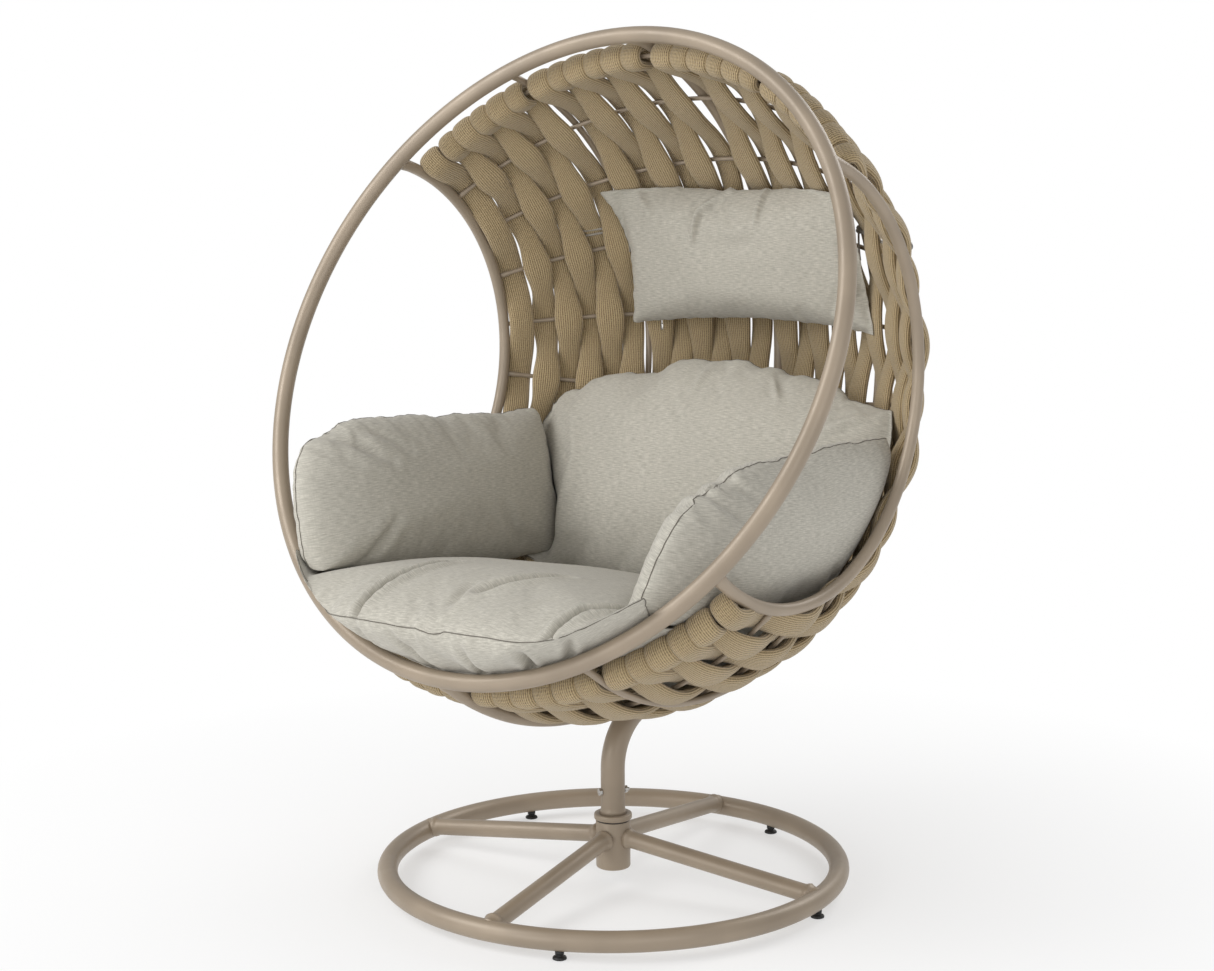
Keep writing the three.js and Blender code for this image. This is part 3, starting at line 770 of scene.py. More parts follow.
def add_belt_column(shape, column):
    path = column_path(column)
    theta, offset = path["theta"], path["offset"]
    x = path["x"] + BELT_WANDER * uneven(len(theta), 15)
    middle = on_basket(x, theta, offset)
    side = unit(on_basket(x + MM, theta, offset) - on_basket(x - MM, theta, offset))
    tangent = unit(np.gradient(middle, axis=0))
    side = unit(side - tangent * (side * tangent).sum(1)[:, None])
    normal = np.cross(side, tangent)
    fullness = 1 + BELT_UNEVEN * uneven(len(theta), 27)
    width = path["width"] * (1 + 0.4 * (fullness - 1))
    thick = path["thick"] * fullness
    wide, deep = belt_section()
    rings = (
        middle[:, None]
        + side[:, None] * (width[:, None] / 2 * wide[None, :-1])[..., None]
        + normal[:, None] * (thick[:, None] / 2 * deep[None, :-1])[..., None]
    )
    start = belt_end(rings[0], middle[0], -tangent[0], thick[0])[::-1]
    end = belt_end(rings[-1], middle[-1], tangent[-1], thick[-1])
    rings = np.concatenate([start, rings, end])
    run = np.linalg.norm(np.diff(rings.mean(1), axis=0), axis=1)
    along = np.concatenate([[0], np.cumsum(run)])
    outline = np.hypot(np.diff(wide) * BELT_WIDE / 2, np.diff(deep) * BELT_THICK / 2)
    around = np.concatenate([[0], np.cumsum(outline)])
    around *= round(around[-1] / RIB_OF_KNIT) * RIB_OF_KNIT / around[-1]
    shape.loft(rings, along=along, around=around)


def belt_end(ring, centre, direction, thick, steps=4):
    """A sewn end: the tube's two faces close on each other while its width stays."""
    rise = np.linspace(0, math.pi / 2, steps + 1)[1:] * 0.92
    flat = unit(ring[0] - ring[len(ring) // 2])
    out = ring - centre
    across = (out @ flat)[:, None] * flat
    return [
        centre + across * (0.93 + 0.07 * math.cos(a)) + (out - across) * math.cos(a)
        + direction * thick * 0.4 * math.sin(a)
        for a in rise
    ]


def make_belts():
    for pair in range(COLUMNS // 2):
        shape = Shape()
        add_belt_column(shape, 2 * pair)
        add_belt_column(shape, 2 * pair + 1)
        shape.piece(f"woven_belt_{pair + 1}", [KNIT], "basket", "knitted_belt", [f"belt_{pair + 1}"])


# ---------------------------------------------------------------- cushions
WEAVE_CLEARANCE = 22 * MM
SIDE_CLEARANCE = 6 * MM
RING_CLEARANCE = 3 * MM
FRONT_EASE = 42 * MM
EASE_ANGLE = math.radians(8)
RING_FEEL = 60 * MM
CUSHION_GAP = 3 * MM
FAR = 0.6
ARM_LEAN = 14
UNDERSIDE_WEAVE = 4.0
PUCKER_DEPTH = 1.7 * MM
PUCKER_REACH = 32 * MM
PUCKER_LENGTHS = (23 * MM, 37 * MM, 61 * MM)
CLOTH_FRAMES = 20
CLOTH_SETTINGS = {
    "quality": 6,
    "mass": 0.25,
    "tension_stiffness": 18,
    "compression_stiffness": 18,
    "shear_stiffness": 6,
    "bending_stiffness": 0.3,
    "air_damping": 2.0,
}
PILLOW_BEND = 20 * MM
PILLOW_REACH = 0.26
SEAM_RADIUS = 0.9 * MM
PILLOW_SEAM_RADIUS = 0.7 * MM


def turn_axes(tilt, turn):
    """The x, y and z directions after a tilt about X and then a turn about Z, in degrees."""
    t, s = math.radians(tilt), math.radians(turn)
    about_x = np.array([[1, 0, 0], [0, math.cos(t), math.sin(t)], [0, -math.sin(t), math.cos(t)]])
    about_z = np.array([[math.cos(s), math.sin(s), 0], [-math.sin(s), math.cos(s), 0], [0, 0, 1]])
    return about_x @ about_z


def panel_place(node_name, order, tilt, turn):
    """Centre, half sizes and directions (length, height, thickness) of a CAD cushion."""
    axes = turn_axes(tilt, turn)[list(order)]
    spread = node_points(node_name) @ axes.T
    low, high = spread.min(0), spread.max(0)
    return (low + high) / 2 @ axes, (high - low) / 2, axes


def sewn_panels(half_u, half_v, outline, spacing):
    """Two flat panels that share their edge loop, given as points, faces, weave and the loop."""
    nu, nv = (round(2 * half / spacing) for half in (half_u, half_v))
    u, v = np.meshgrid(np.linspace(-1, 1, nu + 1), np.linspace(-1, 1, nv + 1), indexing="ij")
    flat = np.dstack(outline(u, v)) * np.array([half_u, half_v])
    puff = 4 * MM * (1 - u**4) * (1 - v**4)
    top = np.dstack([flat, puff]).reshape(-1, 3)
    low = np.dstack([flat, -puff]).reshape(-1, 3)
    inner = np.zeros((nu + 1, nv + 1), bool)
    inner[1:-1, 1:-1] = True
    index = np.arange(len(top)).reshape(nu + 1, nv + 1)
    under = index.copy()
    under[inner] = len(top) + np.arange(inner.sum())
    corners = (np.s_[:-1, :-1], np.s_[1:, :-1], np.s_[1:, 1:], np.s_[:-1, 1:])
    faces = [np.stack([index[k] for k in corners], -1), np.stack([under[k] for k in corners[::-1]], -1)]
    apart = flat + np.array([0, UNDERSIDE_WEAVE])
    weave = [np.stack([flat[k] for k in corners], -2), np.stack([apart[k] for k in corners[::-1]], -2)]
    loop = np.concatenate([index[:-1, 0], index[-1, :-1], index[:0:-1, -1], index[0, :0:-1]])
    return {
        "points": np.concatenate([top, low[inner.ravel()]]),
        "faces": np.concatenate([f.reshape(-1, 4) for f in faces]),
        "weave": np.concatenate([w.reshape(-1, 4, 2) for w in weave]),
        "loop": loop,
    }


def inflated(panels, pressure):
    """The panels blown up by Blender's cloth solver, with gravity off."""
    mesh = bpy.data.meshes.new("stuffing")
    mesh.from_pydata(panels["points"].tolist(), [], panels["faces"].tolist())
    pad = added("stuffing", mesh)
    cloth = pad.modifiers.new("cloth", "CLOTH")
    settings = cloth.settings
    for key, value in CLOTH_SETTINGS.items():
        setattr(settings, key, value)
    settings.use_pressure = True
    settings.uniform_pressure_force = pressure
    settings.effector_weights.gravity = 0
    cloth.collision_settings.use_collision = False
    cloth.point_cache.frame_start = 1
    cloth.point_cache.frame_end = CLOTH_FRAMES
    for number in range(1, CLOTH_FRAMES + 1):
        bpy.context.scene.frame_set(number)
    shown = pad.evaluated_get(bpy.context.evaluated_depsgraph_get())
    result = mesh_points(shown.data)
    bpy.data.objects.remove(pad)
    bpy.context.scene.frame_set(1)
    return result


def fitted(points, half):
    """Points centred and stretched to the half sizes."""
    middle = (points.min(0) + points.max(0)) / 2
    reach = (points.max(0) - points.min(0)) / 2
    return (points - middle) * (half / np.maximum(reach, 1e-9))


def line_distance(points, line):
    """Distance from each 2-D point to a line of points, and how far along the line it lies (0..1)."""
    best = np.full(len(points), 1e9)
    along = np.zeros(len(points))
    line = np.asarray(line, float)
    for k, (a, b) in enumerate(zip(line[:-1], line[1:])):
        share = np.clip(((points - a) @ (b - a)) / ((b - a) @ (b - a)), 0, 1)
        gap = np.linalg.norm(points - a - share[:, None] * (b - a), axis=1)
        closer = gap < best
        best = np.where(closer, gap, best)
        along = np.where(closer, (k + share) / (len(line) - 1), along)
    return best, along


def fold_depth(panel, folds):
    """How deep the folds sink at places on a panel; each is (line on the panel, depth, width)."""
    sink = np.zeros(len(panel))
    for line, depth, width in folds:
        gap, along = line_distance(panel, line)
        fade = np.sin(math.pi * np.clip(along, 0.04, 0.96)) ** 0.5
        valley = np.exp(-((gap / width) ** 2))
        banks = np.exp(-(((gap - 2.1 * width) / (1.2 * width)) ** 2))
        sink += fade * depth * (valley - 0.3 * banks)
    return sink


def pucker_depth(panel, outline):
    """Gathers that run in from the sewn edge and fade on the way."""
    gap, along = line_distance(panel, np.concatenate([outline, outline[:1]]))
    length = np.linalg.norm(np.diff(outline, axis=0), axis=1).sum()
    waves = sum(np.sin(2 * math.pi * (along * length / size + random.uniform())) for size in PUCKER_LENGTHS)
    return PUCKER_DEPTH * waves / len(PUCKER_LENGTHS) * np.exp(-gap / PUCKER_REACH)


def subdivided(points, faces, weave):
    """One round of subdivision: points, faces, weave, point normals and a weave place per point."""
    shape = Shape()
    shape.add(points, faces, 0, weave)
    mesh = shape.mesh("fine")
    made = added("fine", mesh)
    soften = made.modifiers.new("soften", "SUBSURF")
    soften.levels = soften.render_levels = 1
    fine = made.evaluated_get(bpy.context.evaluated_depsgraph_get()).data
    corners = np.empty(len(fine.loops), int)
    fine.loops.foreach_get("vertex_index", corners)
    uv = np.empty(2 * len(corners), np.float32)
    fine.uv_layers["weave"].data.foreach_get("uv", uv)
    uv = uv.reshape(-1, 2).astype(float)
    fine_points = mesh_points(fine)
    normals = np.array([v.normal for v in fine.vertices])
    place = np.zeros((len(fine_points), 2))
    place[corners] = uv
    bpy.data.objects.remove(made)
    return fine_points, corners.reshape(-1, 4), uv.reshape(-1, 4, 2), normals, place


def into_basket(points):
    """Points beyond the weave or the side hoops come back to rest against them."""
    limit_x = SIDE_X - SIDE_CLEARANCE
    points[:, 0] = np.clip(points[:, 0], -limit_x, limit_x)
    out = points[:, 1:] - BASKET
    reach = np.hypot(out[:, 0], out[:, 1])
    theta = np.arctan2(out[:, 1], out[:, 0])
    past_edge = np.clip((ROD_ANGLES[-1] - theta) / EASE_ANGLE, 0, 1)
    centre, radius = rod_circle(theta)
    x = np.minimum(np.abs(points[:, 0]), SIDE_X - HOOP["tube"])
    limit = centre + np.sqrt((radius - WEAVE_CLEARANCE) ** 2 - x**2) + FRONT_EASE * past_edge
    factor = np.minimum(1, limit / np.maximum(reach, 1e-6))
    points[:, 1:] = BASKET + out * factor[:, None]
    return points


def through_ring(points, ring, clearance):
    """Points that come near a ring's plane from behind pass inside its tube, not over it."""
    flat, ahead = seen_from_ring(points, ring)
    near = np.clip(ahead / RING_FEEL + 1.4, 0, 1)
    reach = np.linalg.norm(flat, axis=1)
    pull = near * np.maximum(0, reach - ring["radius"] + ring["tube"] + clearance)
    inward = -flat / reach[:, None]
    moved = pull[:, None] * inward
    return points + moved[:, :1] * ring["right"] + moved[:, 1:] * ring["up"]


def off_ring(points, ring, clearance):
    """Points inside a ring's tube move out to its surface."""
    flat, _ = seen_from_ring(points, ring)
    flat *= (ring["radius"] / np.linalg.norm(flat, axis=1))[:, None]
    nearest = ring["centre"] + flat[:, :1] * ring["right"] + flat[:, 1:] * ring["up"]
    away = points - nearest
    gap = np.linalg.norm(away, axis=1, keepdims=True)
    keep = ring["tube"] + clearance
    return np.where(gap < keep, nearest + away / gap * keep, points)


def neighbour_mean(values, faces):
    """The mean of each point's neighbours along the edges."""
    edges = np.concatenate([faces[:, [0, 1]], faces[:, [1, 2]], faces[:, [2, 3]], faces[:, [3, 0]]])
    count = np.bincount(edges.ravel(), minlength=len(values))
    total = np.bincount(edges[:, 0], values[edges[:, 1]], len(values))
    total += np.bincount(edges[:, 1], values[edges[:, 0]], len(values))
    return total / count


def lift_needed(points, direction, tree):
    """How far each point must go in direction to come clear of the surface in its way."""
    needed = np.zeros(len(points))
    back = Vector(-direction)
    for i, point in enumerate(points):
        place = tree.ray_cast(Vector(point + direction * FAR), back)[0]
        if place is not None:
            needed[i] = max(0.0, (np.array(place) - point) @ direction + CUSHION_GAP)
    return needed


class Cushion:
    """A sewn cover with its filling: where it lies, how it is cut, bent, folded and pressed.

    order names the CAD axes of its length, height and thickness; tilt, turn and lean are degrees;
    grow and shift change the cover's half sizes and place; cut_share is how much of the flat
    cover's outline is kept, and a lower fullness makes rounder edges."""

    def __init__(self, cad_node, order, outline, tilt, turn=0, lean=0, pressure=5, grow=(1, 1, 1),
                 shift=(0, 0, 0), bend=0, top=(), bottom=(), cut_share=0.6, fullness=0.66,
                 spacing=9.5 * MM):
        centre, half, axes = panel_place(cad_node, order, tilt, turn)
        axes = leaning(axes, lean)
        half = half * np.array(grow)
        panels = sewn_panels(half[0], half[1], outline, spacing)
        cut = panels["points"]
        blown = inflated(panels, pressure)
        blown = fitted(blown, half)
        points = cut_share * fitted(cut, half) + (1 - cut_share) * blown
        points[:, 2] = np.sign(blown[:, 2]) * half[2] * (np.abs(blown[:, 2]) / half[2]) ** fullness
        points[:, 2] += bend * (1 - (points[:, 0] / PILLOW_REACH) ** 2)
        self.node, self.axes = cad_node, axes
        self.faces, self.weave, self.loop = panels["faces"], panels["weave"], panels["loop"]
        self.outline = cut[self.loop, :2]
        self.folds = (top, bottom)
        self.points = centre + (np.array(shift) + points) @ axes
        self.settle()

    def settle(self):
        inside = through_ring(into_basket(self.points), RING, RING_CLEARANCE)
        self.points = off_ring(inside, RING, RING_CLEARANCE)

    def tree(self):
        return BVHTree.FromPolygons(self.points.tolist(), self.faces.tolist())

    def lie_on(self, other, direction):
        """Comes clear of another cushion by moving in one direction, its filling giving way."""
        direction = direction / np.linalg.norm(direction)
        needed = lift_needed(self.points, direction, other.tree())
        eased = needed
        for _ in range(6):
            eased = np.maximum(needed, neighbour_mean(eased, self.faces))
        self.points += eased[:, None] * direction

    def piece(self, name, seam, seam_radius):
        points, faces, weave, normals, place = subdivided(self.points, self.faces, self.weave)
        under = place[:, 1] > UNDERSIDE_WEAVE / 2
        place = place - under[:, None] * np.array([0, UNDERSIDE_WEAVE])
        sink = np.where(under, fold_depth(place, self.folds[1]), fold_depth(place, self.folds[0]))
        sink += pucker_depth(place, self.outline) * np.where(under, -1, 1)
        points = points - sink[:, None] * normals
        shape = Shape()
        shape.add(points, faces, 0, weave)
        # A thin tube along the seam; with the dark seam material it is painted shade in the seam's groove.
        edge = points[self.loop]
        path = evened(np.concatenate([edge, edge[:1]]), 3 * len(self.loop), endpoint=False)
        rings = tube_rings(path, seam_radius, (0.3, 0.5, 0.8), 8, closed=True)
        run = np.arange(len(path) + 1) * 5 * MM
        shape.loft(rings, 1, closed=True, along=run, around=np.arange(9) * MM)
        return shape.piece(name, [CLOTH, seam], "basket", "cushion_fabric", [self.node])


def leaning(axes, angle):
    """The cushion's height and thickness directions turned about its length, in degrees."""
    length, height, thick = axes
    c, s = math.cos(math.radians(angle)), math.sin(math.radians(angle))
    return np.array([length, c * height + s * thick, c * thick - s * height])


def seat_outline(u, v):
    """Bowed at the front, more on its left, and narrower at the back."""
    front_bow = np.where(u < 0, 0.16, 0.08)
    return u * np.where(v < 0, 1, 1 - 0.07 * v**2), v * (1 - np.where(v < 0, front_bow, 0.12) * u**2)


def back_outline(u, v):
    bow = np.where(v > 0, 0.4, 0.1)
    return u * (1 - 0.08 * v**2), v * (1 - bow * u**2)


def arm_outline(slump, spread):
    """Square at the back and low at the front; slump takes the front top corner away."""

    def outline(u, v):
        corner = np.clip((v - u) / 2, 0, 1)
        cut = 1 - slump * corner**spread
        return u * cut * (1 - 0.05 * np.maximum(v, 0) ** 2), v * cut * (1 - 0.05 * np.maximum(u, 0) ** 2)

    return outline


def pillow_outline(u, v):
    """A rectangle with drawn-out corners, its top edge sagging between them."""
    sag = np.where(v > 0, 0.17, 0.04) * (1 - u**2)
    return u * (1 - 0.04 * (1 - v**2)), v * (1 - sag)


SEAT_FOLDS = (
    (((-0.10, -0.125), (-0.12, -0.235), (-0.14, -0.345)), 34 * MM, 6 * MM),
    (((0.12, -0.115), (0.08, -0.195), (0.05, -0.245)), 18 * MM, 9 * MM),
    (((0.32, -0.175), (0.27, -0.245), (0.24, -0.335)), 30 * MM, 6 * MM),
    (((0.02, -0.225), (0.03, -0.295)), 7 * MM, 8 * MM),
)
SEAT_UNDER_FOLDS = (
    (((-0.215, -0.310), (-0.2, -0.225)), 14 * MM, 8 * MM),
    (((-0.14, -0.325), (-0.12, -0.225)), 8 * MM, 7 * MM),
    (((-0.06, -0.325), (0.0, -0.205)), 12 * MM, 8 * MM),
    (((0.08, -0.325), (0.08, -0.225)), 8 * MM, 7 * MM),
    (((0.19, -0.315), (0.17, -0.225)), 12 * MM, 7 * MM),
    (((0.27, -0.315), (0.24, -0.245)), 9 * MM, 7 * MM),
)
BACK_FOLDS = (
    (((-0.02, 0.19), (-0.03, 0.14)), 6 * MM, 7 * MM),
    (((0.12, 0.19), (0.15, 0.13)), 6 * MM, 7 * MM),
    (((-0.3, 0.1), (-0.24, 0.0), (-0.25, -0.12)), 7 * MM, 14 * MM),
    (((0.31, 0.12), (0.25, 0.08)), 6 * MM, 9 * MM),
)
ARM_FOLDS = (
    (((-0.24, 0.11), (-0.15, 0.05)), 7 * MM, 10 * MM),
    (((-0.17, 0.12), (-0.10, 0.07)), 5 * MM, 9 * MM),
    (((0.16, -0.12), (0.10, -0.04)), 6 * MM, 10 * MM),
    (((-0.22, -0.12), (-0.16, -0.05)), 8 * MM, 10 * MM),
)
PILLOW_FOLDS = (
    (((-0.02, 0.118), (-0.07, 0.08), (-0.085, 0.03)), 12 * MM, 5.5 * MM),
    (((0.06, 0.118), (0.055, 0.06)), 9 * MM, 5 * MM),
    (((-0.21, 0.118), (-0.17, 0.07)), 5 * MM, 7 * MM),
    (((0.20, -0.115), (0.24, -0.05)), 8 * MM, 8 * MM),
)


def make_arm(name, side, slump, spread, grow, shift, seat):
    """An arm cushion leaning outwards, with its lower edge on the seat."""
    pad = Cushion(
        f"arm_cushion_{name}", (1, 2, 0), arm_outline(slump, spread), tilt=-4, turn=side,
        lean=side * ARM_LEAN, grow=grow, shift=shift, top=ARM_FOLDS, bottom=ARM_FOLDS,
        cut_share=0.75, fullness=0.6,
    )
    pad.lie_on(seat, np.array([0, 0, 1.0]))
    pad.settle()
    return pad


def make_cushions():
    seat = Cushion(
        "seat_cushion", (0, 1, 2), seat_outline, tilt=-9, grow=(1.05, 1.175, 1.04),
        shift=(0, 7 * MM, -12 * MM), top=SEAT_FOLDS, bottom=SEAT_UNDER_FOLDS, cut_share=0.7,
    )
    left = make_arm("left", -1, 0.24, 5, (1.03, 1.08, 1.05), (14 * MM, -2 * MM, 0), seat)
    right = make_arm("right", 1, 0.42, 2.1, (1.02, 1.08, 1.05), (0, -6 * MM, 0), seat)
    back = Cushion(
        "back_cushion", (0, 2, 1), back_outline, tilt=-24, grow=(1.02, 1.12, 1.0),
        shift=(0, -22 * MM, 0), bottom=BACK_FOLDS, cut_share=0.65,
    )
    pillow = Cushion(
        "head_pillow", (0, 2, 1), pillow_outline, tilt=13, pressure=3.5, grow=(1.05, 1.17, 1.0),
        shift=(9 * MM, 3 * MM, 0), bend=PILLOW_BEND, top=PILLOW_FOLDS, bottom=PILLOW_FOLDS,
        cut_share=0.8, fullness=0.8, spacing=7 * MM,
    )
    rearward = back.axes[2] * np.sign(back.axes[2][1])
    back.lie_on(seat, np.array([0, 0.35, 1.0]))
    back.lie_on(left, rearward)
    back.lie_on(right, rearward)
    back.settle()
    pads = {"seat_pad": seat, "back_pad": back, "arm_pad_left": left, "arm_pad_right": right}
    for name, pad in pads.items():
        pad.piece(name, SEAM_SHADE, SEAM_RADIUS)
    pillow.piece("neck_pillow", CLOTH, PILLOW_SEAM_RADIUS)
    make_tie("left", -1, pillow)
    make_tie("right", 1, pillow)
    make_zip_pull(pillow)


# ---------------------------------------------------------------- pillow ties
TAPE_WIDTH, TAPE_THICK = 10 * MM, 1.4 * MM
CORD_RADIUS = 2.3 * MM
LOOP_RADIUS = 2.2 * MM
KNOT_RADIUS = 4.2 * MM
KNOT_STRAND = 1.9 * MM
KNOT_TAPE_WIDTH = 6 * MM
TAPE_DIP = 3 * MM
TAPE_PROFILE = (
    (-1, -1), (-0.5, -1.25), (0.5, -1.25), (1, -1), (1, 1), (0.5, 1.25), (-0.5, 1.25), (-1, 1),
)
LOOPS_ROUND_RIB = ((-2.2 * MM, 0.12), (2.4 * MM, -0.16))
CORD_BOWS = (9 * MM, -11 * MM)
TOGGLE_EYE = 7 * MM
TOGGLE_PROFILE = (
    (0.0, 0.0), (0.80, 0.0), (0.93, 0.06), (1.0, 0.16), (1.0, 0.44), (0.90, 0.50), (0.90, 0.56),
    (0.98, 0.62), (0.96, 0.76), (0.80, 0.90), (0.50, 0.98), (0.0, 1.0),
)


def tape_rings(path, width_from, width_to, up):
    """A flat tape along a path, narrowing on the way."""
    path = np.asarray(path, float)
    rings = []
    for k, point in enumerate(path):
        ahead = unit(path[min(k + 1, len(path) - 1)] - path[max(k - 1, 0)])
        side = unit(up - (up @ ahead) * ahead)
        thin = np.cross(ahead, side)
        width = (width_from + (width_to - width_from) * k / (len(path) - 1)) / 2
        rings.append([point + a * width * side + b * TAPE_THICK / 2 * thin for a, b in TAPE_PROFILE])
    return rings


def bent_path(start, middle, end, steps=14):
    t = np.linspace(0, 1, steps)[:, None]
    return (1 - t) ** 2 * start + 2 * t * (1 - t) * middle + t**2 * end


def make_tie(name, side, pillow):
    """A tape from the pillow's side seam, knotted round the rib, with two cords out to the toggle."""
    node = f"pillow_tie_{name}"
    toggle_node = f"tie_toggle_{name}"
    loop_points = node_points(node)
    rib = loop_points[loop_points[:, 1] > np.quantile(loop_points[:, 1], 0.6)]
    low, high = rib.min(0), rib.max(0)
    centre = np.array([side * RIB_X, (low[1] + high[1]) / 2, (low[2] + high[2]) / 2])
    theta = basket_angle(centre)
    lift = ROD_RADIUS + RIB_RADIUS + ROD_SEAT
    centre = on_basket(side * RIB_X, theta, lift)
    ahead = unit(on_basket(side * RIB_X, theta + 0.01, lift) - centre)
    outward = unit(on_basket(side * RIB_X, theta, 2 * lift) - centre)
    across = np.cross(ahead, outward) * side
    across *= np.sign(across[0]) * side
    edge = pillow.points[pillow.loop]
    edge = edge[np.abs(edge[:, 0]) > 0.85 * np.abs(edge[:, 0]).max()]
    edge = edge[edge[:, 0] * side > 0]
    height = pillow.points[:, 2].min() + 0.52 * np.ptp(pillow.points[:, 2])
    start = edge[np.argmin(np.abs(edge[:, 2] - height))]
    reach = RIB_RADIUS + LOOP_RADIUS
    knot = centre - outward * (reach + 2 * MM) + across * 2 * MM
    shape = Shape()
    turn = round_angles(28)
    for offset, lean in LOOPS_ROUND_RIB:
        loop = [
            centre + reach * (math.cos(a) * outward + math.sin(a) * across)
            + (offset + lean * reach * math.cos(a)) * ahead
            for a in turn
        ]
        shape.loft(tube_rings(np.array(loop), LOOP_RADIUS, ahead, 10, closed=True), closed=True)
    tape = bent_path(start, (start + knot) / 2 - TAPE_DIP * outward, knot)
    shape.loft(tape_rings(tape, TAPE_WIDTH, KNOT_TAPE_WIDTH, ahead))
    twist = [
        knot + KNOT_RADIUS * ((2 + math.cos(3 * a)) * math.cos(2 * a) * across
        + (2 + math.cos(3 * a)) * math.sin(2 * a) * ahead + math.sin(3 * a) * outward) / 2.2
        for a in round_angles(60)
    ]
    shape.loft(tube_rings(np.array(twist), KNOT_STRAND, outward, 8, closed=True), closed=True)
    toggle = node_points(toggle_node)
    toggle_centre = (toggle.min(0) + toggle.max(0)) / 2
    eye = toggle_centre - basket_out(toggle_centre) * TOGGLE_EYE
    for bow in CORD_BOWS:
        cord = bent_path(knot, (knot + eye) / 2 + bow * ahead, eye)
        shape.loft(tube_rings(cord, CORD_RADIUS, ahead, 8))
    shape.piece(f"tie_{name}", [TAPE], "basket", "tie_cord", [node])
    make_toggle(name, toggle_node, toggle_centre)


def basket_out(point):
    theta = basket_angle(point)
    return unit(on_basket(point[0], theta, 10 * MM) - on_basket(point[0], theta, 0))


def make_toggle(name, node, centre):
    axis = basket_out(centre)
    spread = (node_points(node) - centre) @ axis
    length = np.ptp(spread)
    radius = np.linalg.norm(node_points(node) - centre - spread[:, None] * axis, axis=1).max()
    side = unit(np.cross(axis, (0, 0, 1)))
    up = np.cross(axis, side)
    rings = [
        [
            centre + axis * (spread.min() + rise * length)
            + max(reach, 0.02) * radius * (math.cos(a) * side + math.sin(a) * up)
            for a in round_angles(28)
        ]
        for reach, rise in TOGGLE_PROFILE
    ]
    shape = Shape()
    shape.loft(rings)
    shape.piece(f"toggle_{name}", [TOGGLE_METAL], "basket", "toggle_metal", [node])


def make_zip_pull(pillow):
    """A small metal tab hanging from the pillow's bottom seam, near its left end."""
    edge = pillow.points[pillow.loop]
    near = edge[(edge[:, 2] < np.median(edge[:, 2])) & (edge[:, 0] < 0)]
    top = near[np.argmin(np.abs(near[:, 0] + 0.72 * np.abs(edge[:, 0]).max()))]
    shape = Shape()
    for start, end, half in ((-2, 6, 1.5), (5, 17, 2.6)):
        rings = []
        for share in (0.0, 0.15, 0.85, 1.0):
            width = half * (0.7 if share in (0.0, 1.0) else 1.0) * MM
            z = -(start + (end - start) * share) * MM
            rings.append([
                top + np.array([a * width, b * 0.7 * MM, z])
                for a, b in ((-1, -1), (1, -1), (1, 1), (-1, 1))
            ])
        shape.loft(rings)
    shape.piece("zip_pull", [ZINC], "basket", "toggle_metal")


# ---------------------------------------------------------------- carried-over CAD nodes
def paint_cad_nodes():
    finishes = {
        "upper_bush": PLASTIC,
        "lower_bush": PLASTIC,
        "spindle": ZINC,
        "end_bolt": ZINC,
        "post_bolt": ZINC,
        "basket_bolt_1": ZINC,
        "basket_bolt_2": ZINC,
    }
    for name, material in finishes.items():
        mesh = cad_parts[name].data
        mesh.materials.clear()
        mesh.materials.append(material)


# ---------------------------------------------------------------- camera and studio
CAMERA_AZIMUTH = 38.69
CAMERA_ELEVATION = 8.48
CAMERA_DISTANCE = 3.681
CAMERA_LENS = 64.2
CAMERA_ROLL = -0.38
CAMERA_AIM_HEIGHT = 0.6955
CAMERA_AIM_RIGHT = -0.0067


def make_camera():
    azimuth = math.radians(CAMERA_AZIMUTH)
    elevation = math.radians(CAMERA_ELEVATION)
    right = Vector((math.cos(azimuth), math.sin(azimuth), 0))
    back = Vector((
        math.sin(azimuth) * math.cos(elevation),
        -math.cos(azimuth) * math.cos(elevation),
        math.sin(elevation),
    ))
    target = Vector((0, AXIS_Y, CAMERA_AIM_HEIGHT)) + right * CAMERA_AIM_RIGHT
    data = bpy.data.cameras.new("camera")
    data.lens = CAMERA_LENS
    data.sensor_width = 36
    data.clip_start = 0.05
    camera = added("camera", data)
    camera.location = target + back * CAMERA_DISTANCE
    camera.rotation_euler = (-back).to_track_quat("-Z", "Y").to_euler()
    camera.rotation_euler.rotate_axis("Z", math.radians(CAMERA_ROLL))
    bpy.context.scene.camera = camera


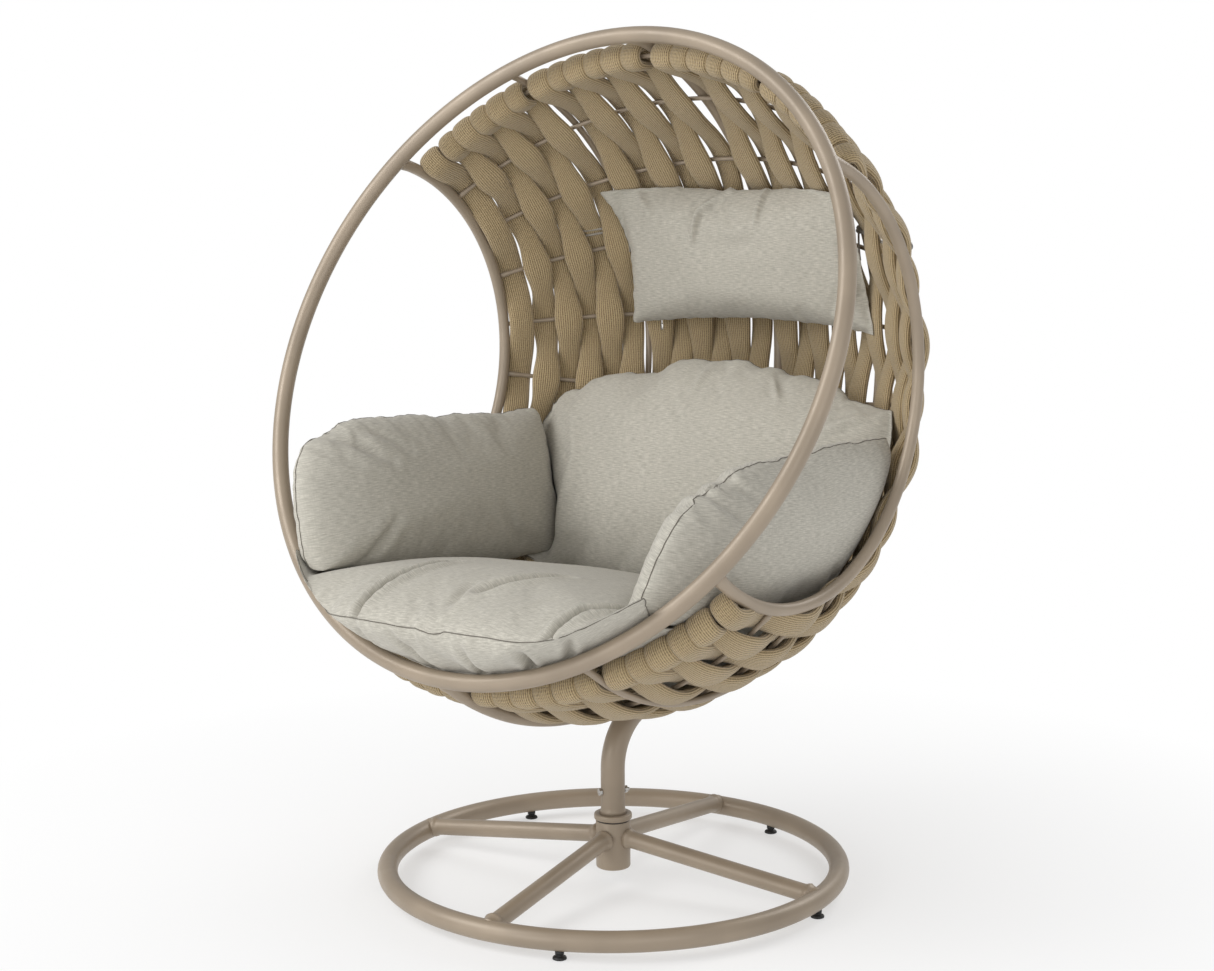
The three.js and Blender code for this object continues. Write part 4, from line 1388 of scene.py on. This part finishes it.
FLOOR_HALF = 30
FLOOR_FADE = (0.4, 1.5)
FLOOR_GLOW = 0.5
SKY_LIGHT = 0.54
LAMPS = (
    ("key", (-2.2, -3.0, 3.2), 2.2, 88),
    ("front", (-0.4, -4.2, 1.2), 2.6, 46),
    ("fill", (3.6, -2.6, 2.0), 2.6, 32),
    ("rim", (0.6, 3.2, 3.0), 2.0, 42),
)


def pale_floor():
    """Near white under the chair, glowing off into the white surround further out."""
    material, tree, shader = new_material("pale_floor")
    shader.inputs["Base Color"].default_value = (0.9, 0.9, 0.9, 1)
    shader.inputs["Roughness"].default_value = 0.8
    place = node(tree, "TexCoord").outputs["Object"]
    reach = node(tree, "VectorMath", {0: place}, operation="LENGTH").outputs["Value"]
    fade = ranged(tree, reach, FLOOR_FADE[0], FLOOR_FADE[1], FLOOR_GLOW, 1)
    glow = node(tree, "Emission", {"Color": (1, 1, 1, 1), "Strength": 1.0}).outputs[0]
    both = node(tree, "MixShader", {0: fade, 1: shader.outputs[0], 2: glow}).outputs[0]
    tree.links.new(both, tree.nodes["Material Output"].inputs["Surface"])
    return material


def white_surround():
    """A plain white backdrop to the camera that lights the chair more gently."""
    world = bpy.data.worlds.new("studio")
    world.use_nodes = True
    tree = world.node_tree
    seen = node(tree, "LightPath").outputs["Is Camera Ray"]
    strength = ranged(tree, seen, 0, 1, SKY_LIGHT, 1.0)
    sky = tree.nodes["Background"]
    sky.inputs["Color"].default_value = (1, 1, 1, 1)
    tree.links.new(strength, sky.inputs["Strength"])
    return world


def make_studio():
    mesh = bpy.data.meshes.new("floor")
    h = FLOOR_HALF
    mesh.from_pydata([(-h, -h, 0), (h, -h, 0), (h, h, 0), (-h, h, 0)], [], [(0, 1, 2, 3)])
    floor = added("floor", mesh)
    mesh.materials.append(pale_floor())
    bpy.context.scene.world = white_surround()
    for name, place, size, power in LAMPS:
        data = bpy.data.lights.new(name, "AREA")
        data.energy = power
        data.size = size
        lamp = added(name, data)
        lamp.location = place
        lamp.rotation_mode = "QUATERNION"
        lamp.rotation_quaternion = (Vector((0, 0, 0.7)) - Vector(place)).to_track_quat("-Z", "Y")
    bpy.context.scene.view_settings.view_transform = "Standard"


make_cushions()
make_base()
make_post()
make_basket_frame()
make_belts()
paint_cad_nodes()
make_studio()
make_camera()
